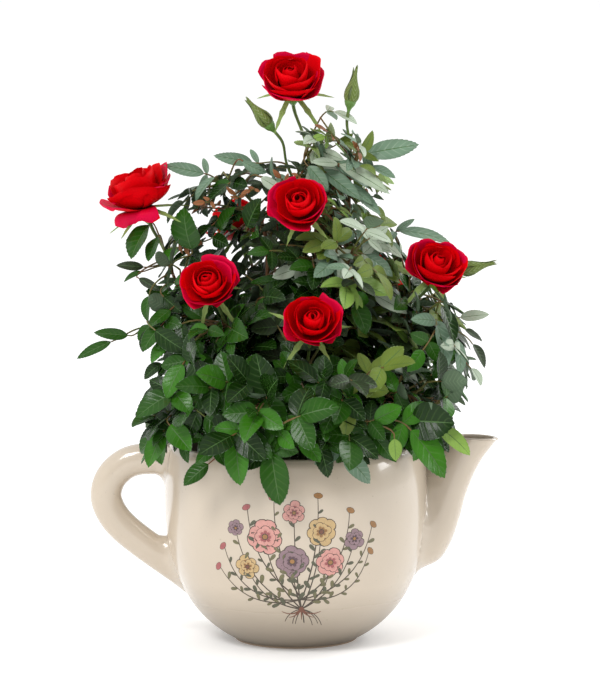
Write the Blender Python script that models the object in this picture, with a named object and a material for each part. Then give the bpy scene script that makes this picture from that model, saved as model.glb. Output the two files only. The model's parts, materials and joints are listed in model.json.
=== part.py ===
"""A miniature rose bush in a glazed teapot planter.

Metres, +Z up. The origin is the centre of the pot's flat foot, the spout points to +X, the handle to -X, and the
side of the bush that is meant to be looked at faces -Y.

The pot is a superellipse turned round +Z, with a looped handle and a beaked spout. The bush is a clump of shoots.
Each shoot is one smooth path from the soil to its tip: the lower stretch is a bare cane, the upper stretch is the
stem of a mass of compound leaves, and past that stem some shoots carry a rose or a bud.
"""

import math
import random

import bmesh
import bpy
from mathutils import Matrix, Vector
from mathutils.bvhtree import BVHTree

MM = 0.001
GAP = 0.3 * MM  # clear space between two solids that touch on the real plant
UP = Vector((0, 0, 1))
DEPTH = Vector((0, 1, 0))
GOLDEN_TURN = math.radians(137.5)  # the turn from one leaf or petal to the next

# ---- Pot
BELLY_RADIUS = 88.3 * MM
BELLY_LEVEL = 95 * MM  # height of the widest ring
BELLY_REACH = 101.6 * MM  # from the widest ring to where the full superellipse would close
BELLY_POWER = 2.3
RIM_LEVEL = 134 * MM
WALL = 5.5 * MM
FLOOR_LEVEL = 8 * MM
SOIL_LEVEL = 118 * MM
POT_SIDES = 36
OUTER_LEVELS = (3, 9, 18, 32, 52, 74, 95, 114)
INNER_LEVELS = (112, 90, 62, 36, 18)

# ---- Handle: the line through the middle of its loop, from the upper root to the lower one, as (x, z)
HANDLE_LINE = ((-79, 119), (-96, 121.5), (-112, 119), (-123.5, 109), (-127, 95), (-120, 80), (-104, 65.5), (-74, 44))
HANDLE_WIDTH = 21 * MM  # across the loop
HANDLE_DEPTH = 18 * MM
HANDLE_RINGS = 15
HANDLE_SIDES = 12

# ---- Spout: its sections as (inner x, inner z, outer x, outer z, half depth), from the root up to the mouth
SPOUT_SECTIONS = (
    (66, 74, 70.7, 45.4, 16),
    (74.7, 84.4, 93.3, 51.4, 17),
    (79, 91, 103.3, 64.2, 16.5),
    (83.3, 99.2, 110, 83.1, 15),
    (86.7, 106.7, 113.3, 95.9, 14),
    (90, 113.4, 118, 108.7, 13),
    (94, 121, 123.6, 120, 12.3),
    (98.7, 129.2, 129.6, 128.4, 12),
    (104.7, 137.2, 135.3, 135.8, 12),
)
SPOUT_WALL = 3.4 * MM
SPOUT_HOLLOW_FROM = 4  # the section where the hollow of the spout ends
SPOUT_SIDES = 16

# ---- Shoots
FOOT_RADIUS_NEAR = 9 * MM  # where upright shoots leave the soil
FOOT_RADIUS_FAR = 34 * MM  # where the shoots that lean over the rim leave it
FOOT_SPACING = 9 * MM
CANE_RADIUS = 2.3 * MM
STEM_RADIUS = 1.6 * MM  # at the foot of a leafy stem
TIP_RADIUS = 1.0 * MM  # at its tip
STALK_RADIUS = 1.3 * MM  # of a flower stalk
FORK_SHARE = 0.36  # the share of a shoot that is bare cane
PATH_STEPS = 32

# ---- Leaves, at leaf size 1
LEAF_SPACING = 11 * MM  # along the stem
LEAF_TRIES = 20  # the turns that are tried for each leaf before it is skipped
RACHIS_LENGTH = 18 * MM
RACHIS_HALF_WIDTH = 0.75 * MM
LEAFLET_LENGTH = 27 * MM
LEAFLET_WIDTH = 21 * MM
LEAFLET_THICKNESS = 0.9 * MM
LEAFLET_FOLD = 0.12  # how far its sides rise, as a share of its width
LEAFLET_DROOP = 0.12  # how far its tip falls, as a share of its length
HEEL = 1.6 * MM  # the length of rachis that a side leaflet grows from
SIDE_LEAFLETS = ((0.46, 66, 0.88), (0.55, 70, 0.86))  # right, left: (share of the rachis, angle from it, size)
LEAF_CLEARANCE = 0.4 * MM  # from every other solid
OWN_SPACE = 1.6  # a leaf's middle may lie this many times further from its own stem than from another

# ---- Rose, at size 1
OUTER_PETALS = 5
PETAL_PATH = ((1.2, -1.5), (15.5, 3.5), (20.5, 10.5))  # (distance from the axis, height) from root to edge
PETAL_HALF_ANGLE = 41
PETAL_LAP = 1.6  # one side of a petal lies this far inside its neighbour, the other this far outside
PETAL_THICKNESS = 0.9 * MM
CUP_RINGS = (  # (height, radius, lobe depth) up the outside of the inner petals and down into their folds
    (0, 2.2, 0),
    (5.5, 10.0, 0),
    (16.5, 14.4, 0.11),
    (15.3, 11.3, 0.05),
    (20.2, 8.4, -0.12),
    (17.4, 4.6, 0),
)
HIP_RINGS = ((-11, 1.4, 0), (-8, 3.4, 0), (-4.5, 3.8, 0), (1.5, 3.0, 0))
BUD_RINGS = ((-1, 1.1, 0), (2, 3.1, 0), (7, 4.3, 0), (12, 3.6, 0), (18, 1.5, 0), (25, 0.4, 0))
ROSE_SEAT = 9 * MM  # from the root of the petals to the middle of the bloom
SEPAL_LENGTH = 17 * MM
SEPAL_WIDTH = 4.6 * MM
HIP_FOOT = 11 * MM  # from the hip's foot to the root of the petals


class Shoot:
    """One shoot: where its leafy stem ends and which way it then points, its leaf size, and what it carries."""

    def __init__(self, name, tip, way, leaf, carries=None, place=None, facing=None, size=1.0):
        self.name = name
        self.tip = Vector(tip) * MM
        self.way = Vector(way).normalized()
        self.leaf = leaf
        self.carries = carries
        self.place = Vector(place) * MM if place else None
        self.facing = Vector(facing).normalized() if facing else None
        self.size = size


SHOOTS = (
    Shoot("top", (7, 2, 331), (-0.15, -0.1, 1), 0.95, "rose", (-3, -2, 376), (-0.05, -0.62, 0.78), 1.15),
    Shoot("upper_left", (-87, -9, 262), (-0.3, 0, 0.95), 1.15, "rose", (-104, -12, 304), (-0.3, -0.15, 0.94), 1.25),
    Shoot("middle", (12, -28, 268), (-0.2, -0.5, 0.8), 1.0, "rose", (3, -54, 299), (-0.12, -0.82, 0.55), 1.06),
    Shoot("left", (-46, -42, 218), (-0.3, -0.5, 0.8), 1.0, "rose", (-57, -66, 248), (-0.15, -0.82, 0.55), 1.05),
    Shoot("low_front", (8, -58, 196), (0.05, -0.55, 0.8), 1.0, "rose", (11, -88, 226), (0.06, -0.82, 0.55), 1.08),
    Shoot("right", (76, -8, 224), (0.4, -0.3, 0.85), 0.95, "rose", (93, -28, 255), (0.18, -0.72, 0.66), 1.08),
    Shoot("back_high", (-30, 42, 248), (-0.2, 0.5, 0.85), 1.0, "rose", (-40, 66, 274), (-0.25, 0.7, 0.66), 1.05),
    Shoot("back_low", (42, 58, 206), (0.3, 0.6, 0.75), 1.0, "rose", (54, 84, 232), (0.3, 0.77, 0.55), 1.05),
    Shoot("top_left", (-6, 10, 318), (-0.4, 0, 0.9), 0.95, "bud", (-18, 6, 345), (-0.64, -0.05, 0.77)),
    Shoot("top_right", (36, 0, 332), (0, 0, 1), 0.95, "bud", (36, 0, 361), (0.18, 0, 0.98)),
    Shoot("far_right", (86, 16, 232), (0.65, 0, 0.7), 0.9, "bud", (110, 4, 248), (0.97, 0, 0.2)),
    Shoot("high_left", (-58, 6, 308), (-0.97, 0, 0.1), 1.1),
    Shoot("high_right", (48, -8, 318), (0.95, -0.1, 0.3), 0.95),
    Shoot("high_front", (38, -38, 268), (0.3, -0.5, 0.75), 1.0),
    Shoot("mid_right", (70, 20, 256), (0.8, 0.1, 0.5), 1.0),
    Shoot("left_low", (-98, -16, 212), (-0.97, -0.2, 0.0), 1.05),
    Shoot("right_low", (97, -22, 214), (0.6, -0.3, -0.5), 1.1),
    Shoot("left_rim", (-76, -56, 160), (-0.4, -0.4, -0.8), 1.15),
    Shoot("front_rim", (-24, -90, 156), (-0.05, -0.4, -0.9), 1.2),
    Shoot("front_right_rim", (34, -86, 158), (0.15, -0.4, -0.9), 1.15),
    Shoot("right_rim", (86, -50, 160), (0.4, -0.3, -0.85), 1.2),
    Shoot("back_left_rim", (-70, 56, 172), (-0.5, 0.5, -0.45), 1.2),
    Shoot("back_rim", (-2, 90, 160), (0, 0.6, -0.7), 1.2),
    Shoot("back_right_rim", (80, 48, 166), (0.55, 0.4, -0.5), 1.2),
)


# ---- Shells: a shell is (points, faces), and several of them are fused into one solid


def ring_shell(rings, sides):
    """A closed skin over elliptical rings, each (centre, half axis, other half axis)."""
    points = []
    for centre, across, along in rings:
        for k in range(sides):
            angle = math.tau * k / sides
            points.append(centre + across * math.cos(angle) + along * math.sin(angle))
    faces = []
    for r in range(len(rings) - 1):
        for k in range(sides):
            a, b = r * sides + k, r * sides + (k + 1) % sides
            faces.append((a, b, b + sides, a + sides))
    last = (len(rings) - 1) * sides
    faces.append(tuple(reversed(range(sides))))
    faces.append(tuple(range(last, last + sides)))
    return points, faces


def tube_shell(line, radii, sides, start_way=None):
    """A tapering tube along a line of points, cut square at both ends, or at its start across a way of its own."""
    ways = [(line[min(i + 1, len(line) - 1)] - line[max(i - 1, 0)]).normalized() for i in range(len(line))]
    ways[0] = start_way or ways[0]
    across = ways[0].orthogonal()
    rings = []
    for point, way, radius in zip(line, ways, radii):
        across = (across - way * across.dot(way)).normalized()
        rings.append((point, across * radius, way.cross(across) * radius))
    return ring_shell(rings, sides)


def sheet_shell(grid, thickness):
    """A closed sheet over a grid of points: both faces meet along its edge, so only the inner points have two sides."""
    rows, columns = len(grid), len(grid[0])
    points, top, bottom = [], {}, {}
    for r in range(rows):
        for c in range(columns):
            inner = 0 < r < rows - 1 and 0 < c < columns - 1
            if not inner:
                top[r, c] = bottom[r, c] = len(points)
                points.append(grid[r][c])
                continue
            normal = (grid[r][c + 1] - grid[r][c - 1]).cross(grid[r + 1][c] - grid[r - 1][c]).normalized()
            top[r, c], bottom[r, c] = len(points), len(points) + 1
            points.append(grid[r][c] + normal * thickness / 2)
            points.append(grid[r][c] - normal * thickness / 2)
    faces = []
    for r in range(rows - 1):
        for c in range(columns - 1):
            corners = ((r, c), (r, c + 1), (r + 1, c + 1), (r + 1, c))
            # Each cell is split along the diagonal that leads inwards, so no triangle lies wholly on the edge.
            start = 0 if (r < (rows - 1) / 2) == (c < (columns - 1) / 2) else 1
            order = corners[1 - start :] + corners[: 1 - start]
            for side, flip in ((top, False), (bottom, True)):
                a, b, d, e = (side[k] for k in order)
                for face in ((a, b, e), (b, d, e)):
                    faces.append(tuple(reversed(face)) if flip else face)
    return points, faces


def moved(shell, matrix):
    return [matrix @ p for p in shell[0]], shell[1]


def joined(shells):
    points, faces = [], []
    for some, more in shells:
        start = len(points)
        points += some
        faces += [tuple(i + start for i in face) for face in more]
    return points, faces


def facing_matrix(place, forward, upward):
    """The frame at a place whose +X goes forward and whose +Z leans towards upward."""
    x = forward.normalized()
    y = upward.cross(x).normalized()
    z = x.cross(y)
    return Matrix(((x.x, y.x, z.x, place.x), (x.y, y.y, z.y, place.y), (x.z, y.z, z.z, place.z), (0, 0, 0, 1)))


def rising_matrix(place, upward, size=1.0):
    """The frame at a place whose +Z points upward, scaled."""
    turn = UP.rotation_difference(upward).to_matrix().to_4x4()
    return Matrix.Translation(place) @ turn @ Matrix.Scale(size, 4)


# ---- Objects


def material(name, color, roughness, metallic=0.0):
    made = bpy.data.materials.new(name)
    made.use_nodes = True
    shader = made.node_tree.nodes["Principled BSDF"]
    shader.inputs["Base Color"].default_value = (*color, 1)
    shader.inputs["Roughness"].default_value = roughness
    shader.inputs["Metallic"].default_value = metallic
    return made


def solid(name, shell, finish, smooth=True):
    """An object from a shell, with its faces pointing out."""
    mesh = bpy.data.meshes.new(name)
    work = bmesh.new()
    corners = [work.verts.new(p) for p in shell[0]]
    for face in shell[1]:
        work.faces.new([corners[i] for i in face])
    bmesh.ops.recalc_face_normals(work, faces=work.faces)
    work.to_mesh(mesh)
    work.free()
    made = bpy.data.objects.new(name, mesh)
    bpy.context.scene.collection.objects.link(made)
    if finish:
        mesh.materials.append(finish)
    if smooth:
        mesh.shade_smooth()
        mesh.set_sharp_from_angle(angle=math.radians(40))
    return made


def applied(made):
    """Replaces an object's mesh by what its modifiers make of it."""
    graph = bpy.context.evaluated_depsgraph_get()
    mesh = bpy.data.meshes.new_from_object(made.evaluated_get(graph))
    made.modifiers.clear()
    made.data = mesh


def keep_largest_skin(mesh):
    """Drops every loose scrap and fills every sealed hollow: both are skins of their own inside the mesh."""
    work = bmesh.new()
    work.from_mesh(mesh)
    left, skins = set(work.verts), []
    while left:
        skin, edge = set(), [left.pop()]
        while edge:
            corner = edge.pop()
            skin.add(corner)
            for link in corner.link_edges:
                other = link.other_vert(corner)
                if other in left:
                    left.discard(other)
                    edge.append(other)
        skins.append(skin)
    largest = max(skins, key=len)
    bmesh.ops.delete(work, geom=[v for v in work.verts if v not in largest])
    work.to_mesh(mesh)
    work.free()


def fused(name, shells, finish, solver="EXACT"):
    """One solid from several overlapping shells, by one Boolean union on a collection."""
    made = solid(name, shells[0], finish, smooth=False)
    others = bpy.data.collections.new(name + "_pieces")
    for k, shell in enumerate(shells[1:]):
        piece = solid(f"{name}_piece_{k}", shell, None, smooth=False)
        bpy.context.scene.collection.objects.unlink(piece)
        others.objects.link(piece)
    union = made.modifiers.new("union", "BOOLEAN")
    union.operation = "UNION"
    union.operand_type = "COLLECTION"
    union.collection = others
    union.solver = solver
    applied(made)
    for piece in list(others.objects):
        bpy.data.objects.remove(piece)
    bpy.data.collections.remove(others)
    keep_largest_skin(made.data)
    return made


def cut_by(made, cutter):
    """Subtracts a cutter from an object, and removes the cutter."""
    cut = made.modifiers.new("cut", "BOOLEAN")
    cut.operation = "DIFFERENCE"
    cut.solver = "EXACT"
    cut.object = cutter
    applied(made)
    bpy.data.objects.remove(cutter)
    keep_largest_skin(made.data)


# ---- Pot


def belly_radius(level):
    share = min(1.0, abs(level - BELLY_LEVEL) / BELLY_REACH)
    return BELLY_RADIUS * (1 - share**BELLY_POWER) ** (1 / BELLY_POWER)


def turned_shell(profile):
    """A closed skin turned round +Z from a profile of (radius, level) that starts and ends on the axis."""
    points = [Vector((0, 0, profile[0][1]))]
    for radius, level in profile[1:-1]:
        for k in range(POT_SIDES):
            angle = math.tau * k / POT_SIDES
            points.append(Vector((radius * math.cos(angle), radius * math.sin(angle), level)))
    points.append(Vector((0, 0, profile[-1][1])))
    rings = len(profile) - 2
    faces = []
    for k in range(POT_SIDES):
        after = (k + 1) % POT_SIDES
        faces.append((0, 1 + after, 1 + k))
        for r in range(rings - 1):
            low, high = 1 + r * POT_SIDES, 1 + (r + 1) * POT_SIDES
            faces.append((low + k, low + after, high + after, high + k))
        top = 1 + (rings - 1) * POT_SIDES
        faces.append((top + k, top + after, len(points) - 1))
    return points, faces


def pot_body(glaze):
    lip = WALL / 2
    lip_radius = belly_radius(RIM_LEVEL) - lip
    outer = [(belly_radius(0) - 1.5 * MM, 0)] + [(belly_radius(z * MM), z * MM) for z in OUTER_LEVELS]
    lip_arc = [math.radians(a) for a in (0, 60, 120, 180)]
    rim = [(lip_radius + lip * math.cos(a), RIM_LEVEL - lip + lip * math.sin(a)) for a in lip_arc]
    inner = [(belly_radius(z * MM) - WALL, z * MM) for z in INNER_LEVELS]
    floor = [(belly_radius(FLOOR_LEVEL) - WALL, FLOOR_LEVEL)]
    return solid("pot_body", turned_shell([(0, 0)] + outer + rim + inner + floor + [(0, FLOOR_LEVEL)]), glaze)


def soil_plug(earth):
    """The potting soil: it fills the pot to a finger's width below the rim."""
    bottom = FLOOR_LEVEL + GAP
    floor = [(0, bottom), (belly_radius(FLOOR_LEVEL) - WALL - GAP, bottom)]
    sides = [(belly_radius(z * MM) - WALL - GAP, z * MM) for z in reversed(INNER_LEVELS)]
    top = [(belly_radius(SOIL_LEVEL) - WALL - 12 * MM, SOIL_LEVEL), (0, SOIL_LEVEL)]
    return solid("soil", turned_shell(floor + sides + top), earth)


def belly_cutter():
    """The full belly grown by the gap, as one solid, to cut the handle and the spout to the pot."""
    levels = [-3] + list(OUTER_LEVELS) + [127, 140]
    profile = [(belly_radius(max(z, 0) * MM) + GAP, z * MM) for z in levels]
    shell = turned_shell([(0, levels[0] * MM)] + profile + [(0, levels[-1] * MM)])
    return solid("belly_cutter", shell, None, smooth=False)


def curve_points(controls, steps):
    """A smooth line through the control points, as evenly spread in parameter as they are."""
    ends = [controls[0] * 2 - controls[1]] + list(controls) + [controls[-1] * 2 - controls[-2]]
    line = []
    for step in range(steps):
        at = step * (len(controls) - 1) / (steps - 1)
        k = min(int(at), len(controls) - 2)
        t = at - k
        a, b, c, d = ends[k : k + 4]
        line.append(0.5 * (b * 2 + (c - a) * t + (a * 2 - b * 5 + c * 4 - d) * t**2 + (b * 3 - a - c * 3 + d) * t**3))
    return line


def pot_handle(glaze):
    line = curve_points([Vector((x, 0, z)) * MM for x, z in HANDLE_LINE], HANDLE_RINGS)
    rings = []
    for i, point in enumerate(line):
        way = (line[min(i + 1, len(line) - 1)] - line[max(i - 1, 0)]).normalized()
        rings.append((point, way.cross(DEPTH) * HANDLE_WIDTH / 2, DEPTH * HANDLE_DEPTH / 2))
    made = solid("pot_handle", ring_shell(rings, HANDLE_SIDES), glaze, smooth=False)
    cut_by(made, belly_cutter())
    return made


def spout_rings(thinner=0.0):
    rings = []
    for inner_x, inner_z, outer_x, outer_z, half_depth in SPOUT_SECTIONS:
        inner, outer = Vector((inner_x, 0, inner_z)) * MM, Vector((outer_x, 0, outer_z)) * MM
        half = (outer - inner) / 2
        across = half.normalized() * (half.length - thinner)
        rings.append(((inner + outer) / 2, across, DEPTH * (half_depth * MM - thinner)))
    return rings


def pot_spout(glaze):
    made = solid("pot_spout", ring_shell(spout_rings(), SPOUT_SIDES), glaze, smooth=False)
    hollow = spout_rings(SPOUT_WALL)[SPOUT_HOLLOW_FROM:]
    mouth, across, along = hollow[-1]
    hollow.append((mouth + UP * 4 * MM, across, along))
    cut_by(made, solid("spout_hollow", ring_shell(hollow, SPOUT_SIDES), None, smooth=False))
    cut_by(made, belly_cutter())
    return made


# ---- Bush


def spread_feet():
    """Where each shoot leaves the soil: on its tip's side of the clump, and pushed clear of the other shoots."""
    feet = {}
    for shoot in SHOOTS:
        outward = Vector((shoot.tip.x, shoot.tip.y, 0))
        reach = min(1.0, outward.length / BELLY_RADIUS)
        feet[shoot.name] = outward.normalized() * (FOOT_RADIUS_NEAR + (FOOT_RADIUS_FAR - FOOT_RADIUS_NEAR) * reach)
    for _ in range(200):
        for name, foot in feet.items():
            for other, place in feet.items():
                apart = foot - place
                if other != name and apart.length < FOOT_SPACING:
                    foot += apart.normalized() * (FOOT_SPACING - apart.length) / 2
    return feet


def shoot_path(shoot, foot):
    """The line of a shoot from the soil to its tip: it leaves the soil upright and ends along the shoot's way."""
    start = foot + UP * (SOIL_LEVEL + GAP)
    span = (shoot.tip - start).length
    first = start + UP * span * (0.62 if shoot.way.z < 0 else 0.42) + foot.normalized() * span * 0.05
    second = shoot.tip - shoot.way * span * 0.36
    line = []
    for step in range(PATH_STEPS + 1):
        t = step / PATH_STEPS
        s = 1 - t
        line.append(start * s**3 + first * 3 * s**2 * t + second * 3 * s * t**2 + shoot.tip * t**3)
    return line


def stretch(line, start, end, count):
    """Points evenly spread along a line, from one share of its length to another."""
    lengths = [0.0]
    for a, b in zip(line, line[1:]):
        lengths.append(lengths[-1] + (b - a).length)
    points = []
    for k in range(count):
        want = lengths[-1] * (start + (end - start) * k / (count - 1))
        i = max(j for j in range(len(line) - 1) if lengths[j] <= want + 1e-9)
        share = (want - lengths[i]) / (lengths[i + 1] - lengths[i])
        points.append(line[i].lerp(line[i + 1], min(share, 1.0)))
    return points


def line_length(line):
    return sum((b - a).length for a, b in zip(line, line[1:]))


def cane_shell(line):
    points = stretch(line, 0, FORK_SHARE, 4)
    radii = [CANE_RADIUS + (STEM_RADIUS - CANE_RADIUS) * k / 3 for k in range(4)]
    radii[0] *= 1.25
    return tube_shell(points, radii, 5, start_way=UP)


def stem_line(line):
    """The stretch of a shoot that carries leaves, clear of the cane below it."""
    return stretch(line, FORK_SHARE + GAP / line_length(line), 1, 5)


def stem_shell(line):
    radii = [STEM_RADIUS + (TIP_RADIUS - STEM_RADIUS) * k / 4 for k in range(5)]
    return tube_shell(stem_line(line), radii, 3)


def stalk_line(shoot, start):
    """From the tip of the stem to the foot of the hip or bud."""
    foot = shoot.place - shoot.facing * ((HIP_FOOT + ROSE_SEAT) * shoot.size if shoot.carries == "rose" else HIP_FOOT)
    span = (foot - start).length
    first, second = start + shoot.way * span * 0.4, foot - shoot.facing * span * 0.35
    line = []
    for step in range(5):
        t = step / 4
        s = 1 - t
        line.append(start * s**3 + first * 3 * s**2 * t + second * 3 * s * t**2 + foot * t**3)
    return line


def lobed_shell(rings, sides, lobes=0):
    """A closed skin round +Z over rings of (height, radius, lobe depth), in millimetres."""
    points = []
    for number, (height, radius, depth) in enumerate(rings):
        for k in range(sides):
            angle = math.tau * (k + 0.5 * number) / sides
            reach = radius * (1 + depth * math.cos(lobes * angle))
            points.append(Vector((reach * math.cos(angle), reach * math.sin(angle), height)) * MM)
    faces = [tuple(reversed(range(sides))), tuple(range(len(points) - sides, len(points)))]
    for start in range(0, len(points) - sides, sides):
        for k in range(sides):
            a, b = start + k, start + (k + 1) % sides
            faces += [(a, b, a + sides), (b, b + sides, a + sides)]
    return points, faces


def petal_grid(turn, columns, rows):
    """A cupped petal: its middle follows the petal path, and its sides wrap round the rose's axis."""
    grid = []
    for r in range(rows):
        row = []
        for c in range(columns):
            side = 2 * c / (columns - 1) - 1
            v = r / (rows - 1) * (1 - 0.16 * side**2)
            s = 1 - v
            radius, height = (a * s**2 + b * 2 * s * v + c * v**2 for a, b, c in zip(*PETAL_PATH))
            radius += PETAL_LAP * side * v
            spread = 0.55 + 1.3 * v - 0.95 * v**2
            angle = turn + math.radians(PETAL_HALF_ANGLE) * spread * side
            row.append(Vector((radius * math.cos(angle), radius * math.sin(angle), height)) * MM)
        grid.append(row)
    return grid


def blade_shell(length, width, thickness, rise):
    """A sepal: a narrow diamond with a keel, its root at the origin and its tip along +X."""
    waist = 0.4 * length
    points = [Vector((0, 0, 0)), Vector((length, 0, rise * length)), Vector((waist, 0, -thickness))]
    points += [Vector((waist, side * width / 2, 0)) for side in (1, -1)]
    root, tip, keel, left, right = range(5)
    faces = [(root, right, left), (right, tip, left)]
    faces += [(right, root, keel), (tip, right, keel), (left, tip, keel), (root, left, keel)]
    return points, faces


def rose_shells(shoot):
    dice = random.Random(shoot.name)
    shells = [lobed_shell(HIP_RINGS, 5), lobed_shell(CUP_RINGS, 8, lobes=4)]
    for k in range(5):
        angle = k * math.tau / 5 + 0.3
        around = Vector((math.cos(angle), math.sin(angle), dice.uniform(-0.7, -0.2)))
        frame = facing_matrix(UP * -3.5 * MM, around, UP)
        shells.append(moved(blade_shell(SEPAL_LENGTH, SEPAL_WIDTH, 1 * MM, 0.1), frame))
    for k in range(OUTER_PETALS):
        turn = k * math.tau / OUTER_PETALS + dice.uniform(-0.1, 0.1)
        shells.append(sheet_shell(petal_grid(turn, 4, 3), PETAL_THICKNESS))
    frame = rising_matrix(shoot.place - shoot.facing * ROSE_SEAT * shoot.size, shoot.facing, shoot.size)
    return [moved(shell, frame) for shell in shells]


def bud_shells(shoot):
    shells = [lobed_shell(BUD_RINGS, 6)]
    for k in range(3):
        around = Vector((math.cos(k * 2.1), math.sin(k * 2.1), 0.9))
        frame = facing_matrix(UP * 0.5 * MM, around, Vector((0, 0, -1)))
        shells.append(moved(blade_shell(9 * MM, 2.6 * MM, 0.6 * MM, -0.1), frame))
    frame = rising_matrix(shoot.place, shoot.facing, shoot.size)
    return [moved(shell, frame) for shell in shells]


def stalk_shell(shoot, start):
    line = stalk_line(shoot, start)
    if shoot.carries == "bud":
        line.append(shoot.place)
    else:
        line.append(line[-1] + shoot.facing * 2.5 * MM)
    return tube_shell(line, [STALK_RADIUS] * len(line), 4)


def leaf_places(shoot, line):
    """Where compound leaves may stand along a leafy stem: for each, the tries of (root, way, face, size)."""
    dice = random.Random(shoot.name)
    fall = 1.1 if shoot.way.z < -0.4 else 0.35
    count = int(line_length(line) / (LEAF_SPACING * shoot.leaf))
    turn = dice.uniform(0, math.tau)
    if not shoot.carries:
        outward = Vector((line[-1].x, line[-1].y, 0)) / BELLY_RADIUS
        yield [(line[-1], (shoot.way - UP * 0.15).normalized(), UP * 0.75 + outward * 0.9, shoot.leaf * 1.1)]
    for k in reversed(range(count + 1)):
        share = (k + 0.25) / (count + 0.5)
        root, beyond = stretch(line, share, min(share + 0.02, 1.0), 2)
        axis = (beyond - root).normalized()
        outward = Vector((root.x, root.y, 0)) / BELLY_RADIUS
        tries = []
        for _ in range(LEAF_TRIES):
            turn += GOLDEN_TURN + dice.uniform(-0.3, 0.3)
            side = Matrix.Rotation(turn, 3, axis) @ axis.orthogonal().normalized()
            lean = math.radians(dice.uniform(42, 74))
            way = axis * math.cos(lean) + side * math.sin(lean) + outward * 0.35 - UP * dice.uniform(0, fall)
            face = UP * 0.75 + outward * 0.9 + Vector([dice.uniform(-0.35, 0.35) for _ in range(3)])
            tries.append((root, way.normalized(), face, shoot.leaf * dice.uniform(0.85, 1.1)))
        yield tries


def leaflet_fans(points, faces, heel, way, length, width, thickness):
    """One leaflet on an opening of its rachis: a diamond folded along its midrib.

    The heel is the opening: the ends of its upper edge, then the point below them. The upper faces fan out from a
    point over the midrib and the lower ones from the tip, so the leaflet is thickest at its waist.
    """
    middle = (points[heel[0]] + points[heel[1]]) / 2
    side = UP.cross(way).normalized()
    waist = middle + way * length * 0.42
    start = len(points)
    points += [waist - side * width / 2 + UP * width * LEAFLET_FOLD, middle + way * length - UP * length * LEAFLET_DROOP]
    points += [waist + side * width / 2 + UP * width * LEAFLET_FOLD, waist + UP * thickness]
    right, tip, left, top = range(start, start + 4)
    edge = [heel[0], right, tip, left, heel[1]]
    faces += [(top, a, b) for a, b in zip(edge, edge[1:] + edge[:1])]
    loop = edge[1:] + list(heel[2:]) + edge[:1]
    faces += [(tip, b, a) for a, b in zip(loop[1:], loop[2:] + loop[:1]) if tip not in (a, b)]


def leaf_shell(place, grow=0.0):
    """A compound leaf of three leaflets as one skin, grown all round where a clearance is tested."""
    root, way, face, size = place
    start = STEM_RADIUS + grow if grow else 0.0
    length = RACHIS_LENGTH * size
    half = RACHIS_HALF_WIDTH + grow
    keel = UP * -(RACHIS_HALF_WIDTH * 1.5 + grow)
    points = [Vector((start, -half * 0.6, 0)), Vector((start, half * 0.6, 0)), Vector((start, 0, 0)) + keel * 0.6]
    points += [Vector((length, -half * 0.7, 0)), Vector((length, half * 0.7, 0)), Vector((length, 0, 0)) + keel * 0.7]
    right, left, low, end_right, end_left, end_low = range(6)
    faces = [(right, low, left)]
    edges, leaflets = {}, []
    for side, near, far, share, angle, smaller in ((-1, right, end_right, *SIDE_LEAFLETS[0]), (1, left, end_left, *SIDE_LEAFLETS[1])):
        at = len(points)
        points += [Vector((length * share + step, side * half * 0.85, 0)) for step in (-HEEL / 2, HEEL / 2)]
        points += [Vector((length * share, side * half * 0.55, 0)) + keel * 0.35]
        edges[side] = [near, at, at + 1, far]
        flank = [near, at, at + 2, at + 1, far, end_low, low]
        faces.append(tuple(flank if side < 0 else reversed(flank)))
        heel = (at, at + 1, at + 2) if side < 0 else (at + 1, at, at + 2)
        turn = side * math.radians(angle)
        leaflets.append((heel, Vector((math.cos(turn), math.sin(turn), 0)), smaller))
    for k in range(3):
        faces.append((edges[-1][k], edges[1][k], edges[1][k + 1], edges[-1][k + 1]))
    leaflets.append(((end_right, end_left, end_low), Vector((1, 0, 0)), 1.0))
    for heel, forward, smaller in leaflets:
        long, wide = LEAFLET_LENGTH * size * smaller + grow, LEAFLET_WIDTH * size * smaller + grow * 2
        leaflet_fans(points, faces, heel, forward, long, wide, LEAFLET_THICKNESS + grow * 2)
    return moved((points, faces), facing_matrix(root, way, face))


def tree_of(shells):
    points, faces = joined(shells)
    return BVHTree.FromPolygons(points, faces)


def mesh_shell(made):
    return [v.co.copy() for v in made.data.vertices], [tuple(p.vertices) for p in made.data.polygons]


def in_own_space(name, place, stems):
    """Whether a leaf's middle lies about as near to its own stem as to any other stem."""
    root, way, _, size = place
    middle = root + way * RACHIS_LENGTH * size
    apart = {other: min((p - middle).length for p in line) for other, line in stems.items()}
    return apart[name] <= OWN_SPACE * min(apart.values())


def grown_leaves(shoot, stems, others):
    """The leaves of one shoot: each stands the first way it is tried that keeps to its space and touches nothing."""
    blocked, leaves = [tree_of(others)], []
    for tries in leaf_places(shoot, stems[shoot.name]):
        for place in tries:
            grown = tree_of([leaf_shell(place, LEAF_CLEARANCE)])
            if in_own_space(shoot.name, place, stems) and not any(tree.overlap(grown) for tree in blocked):
                leaves.append(leaf_shell(place))
                blocked.append(tree_of(leaves[-1:]))
                break
    return leaves


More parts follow.
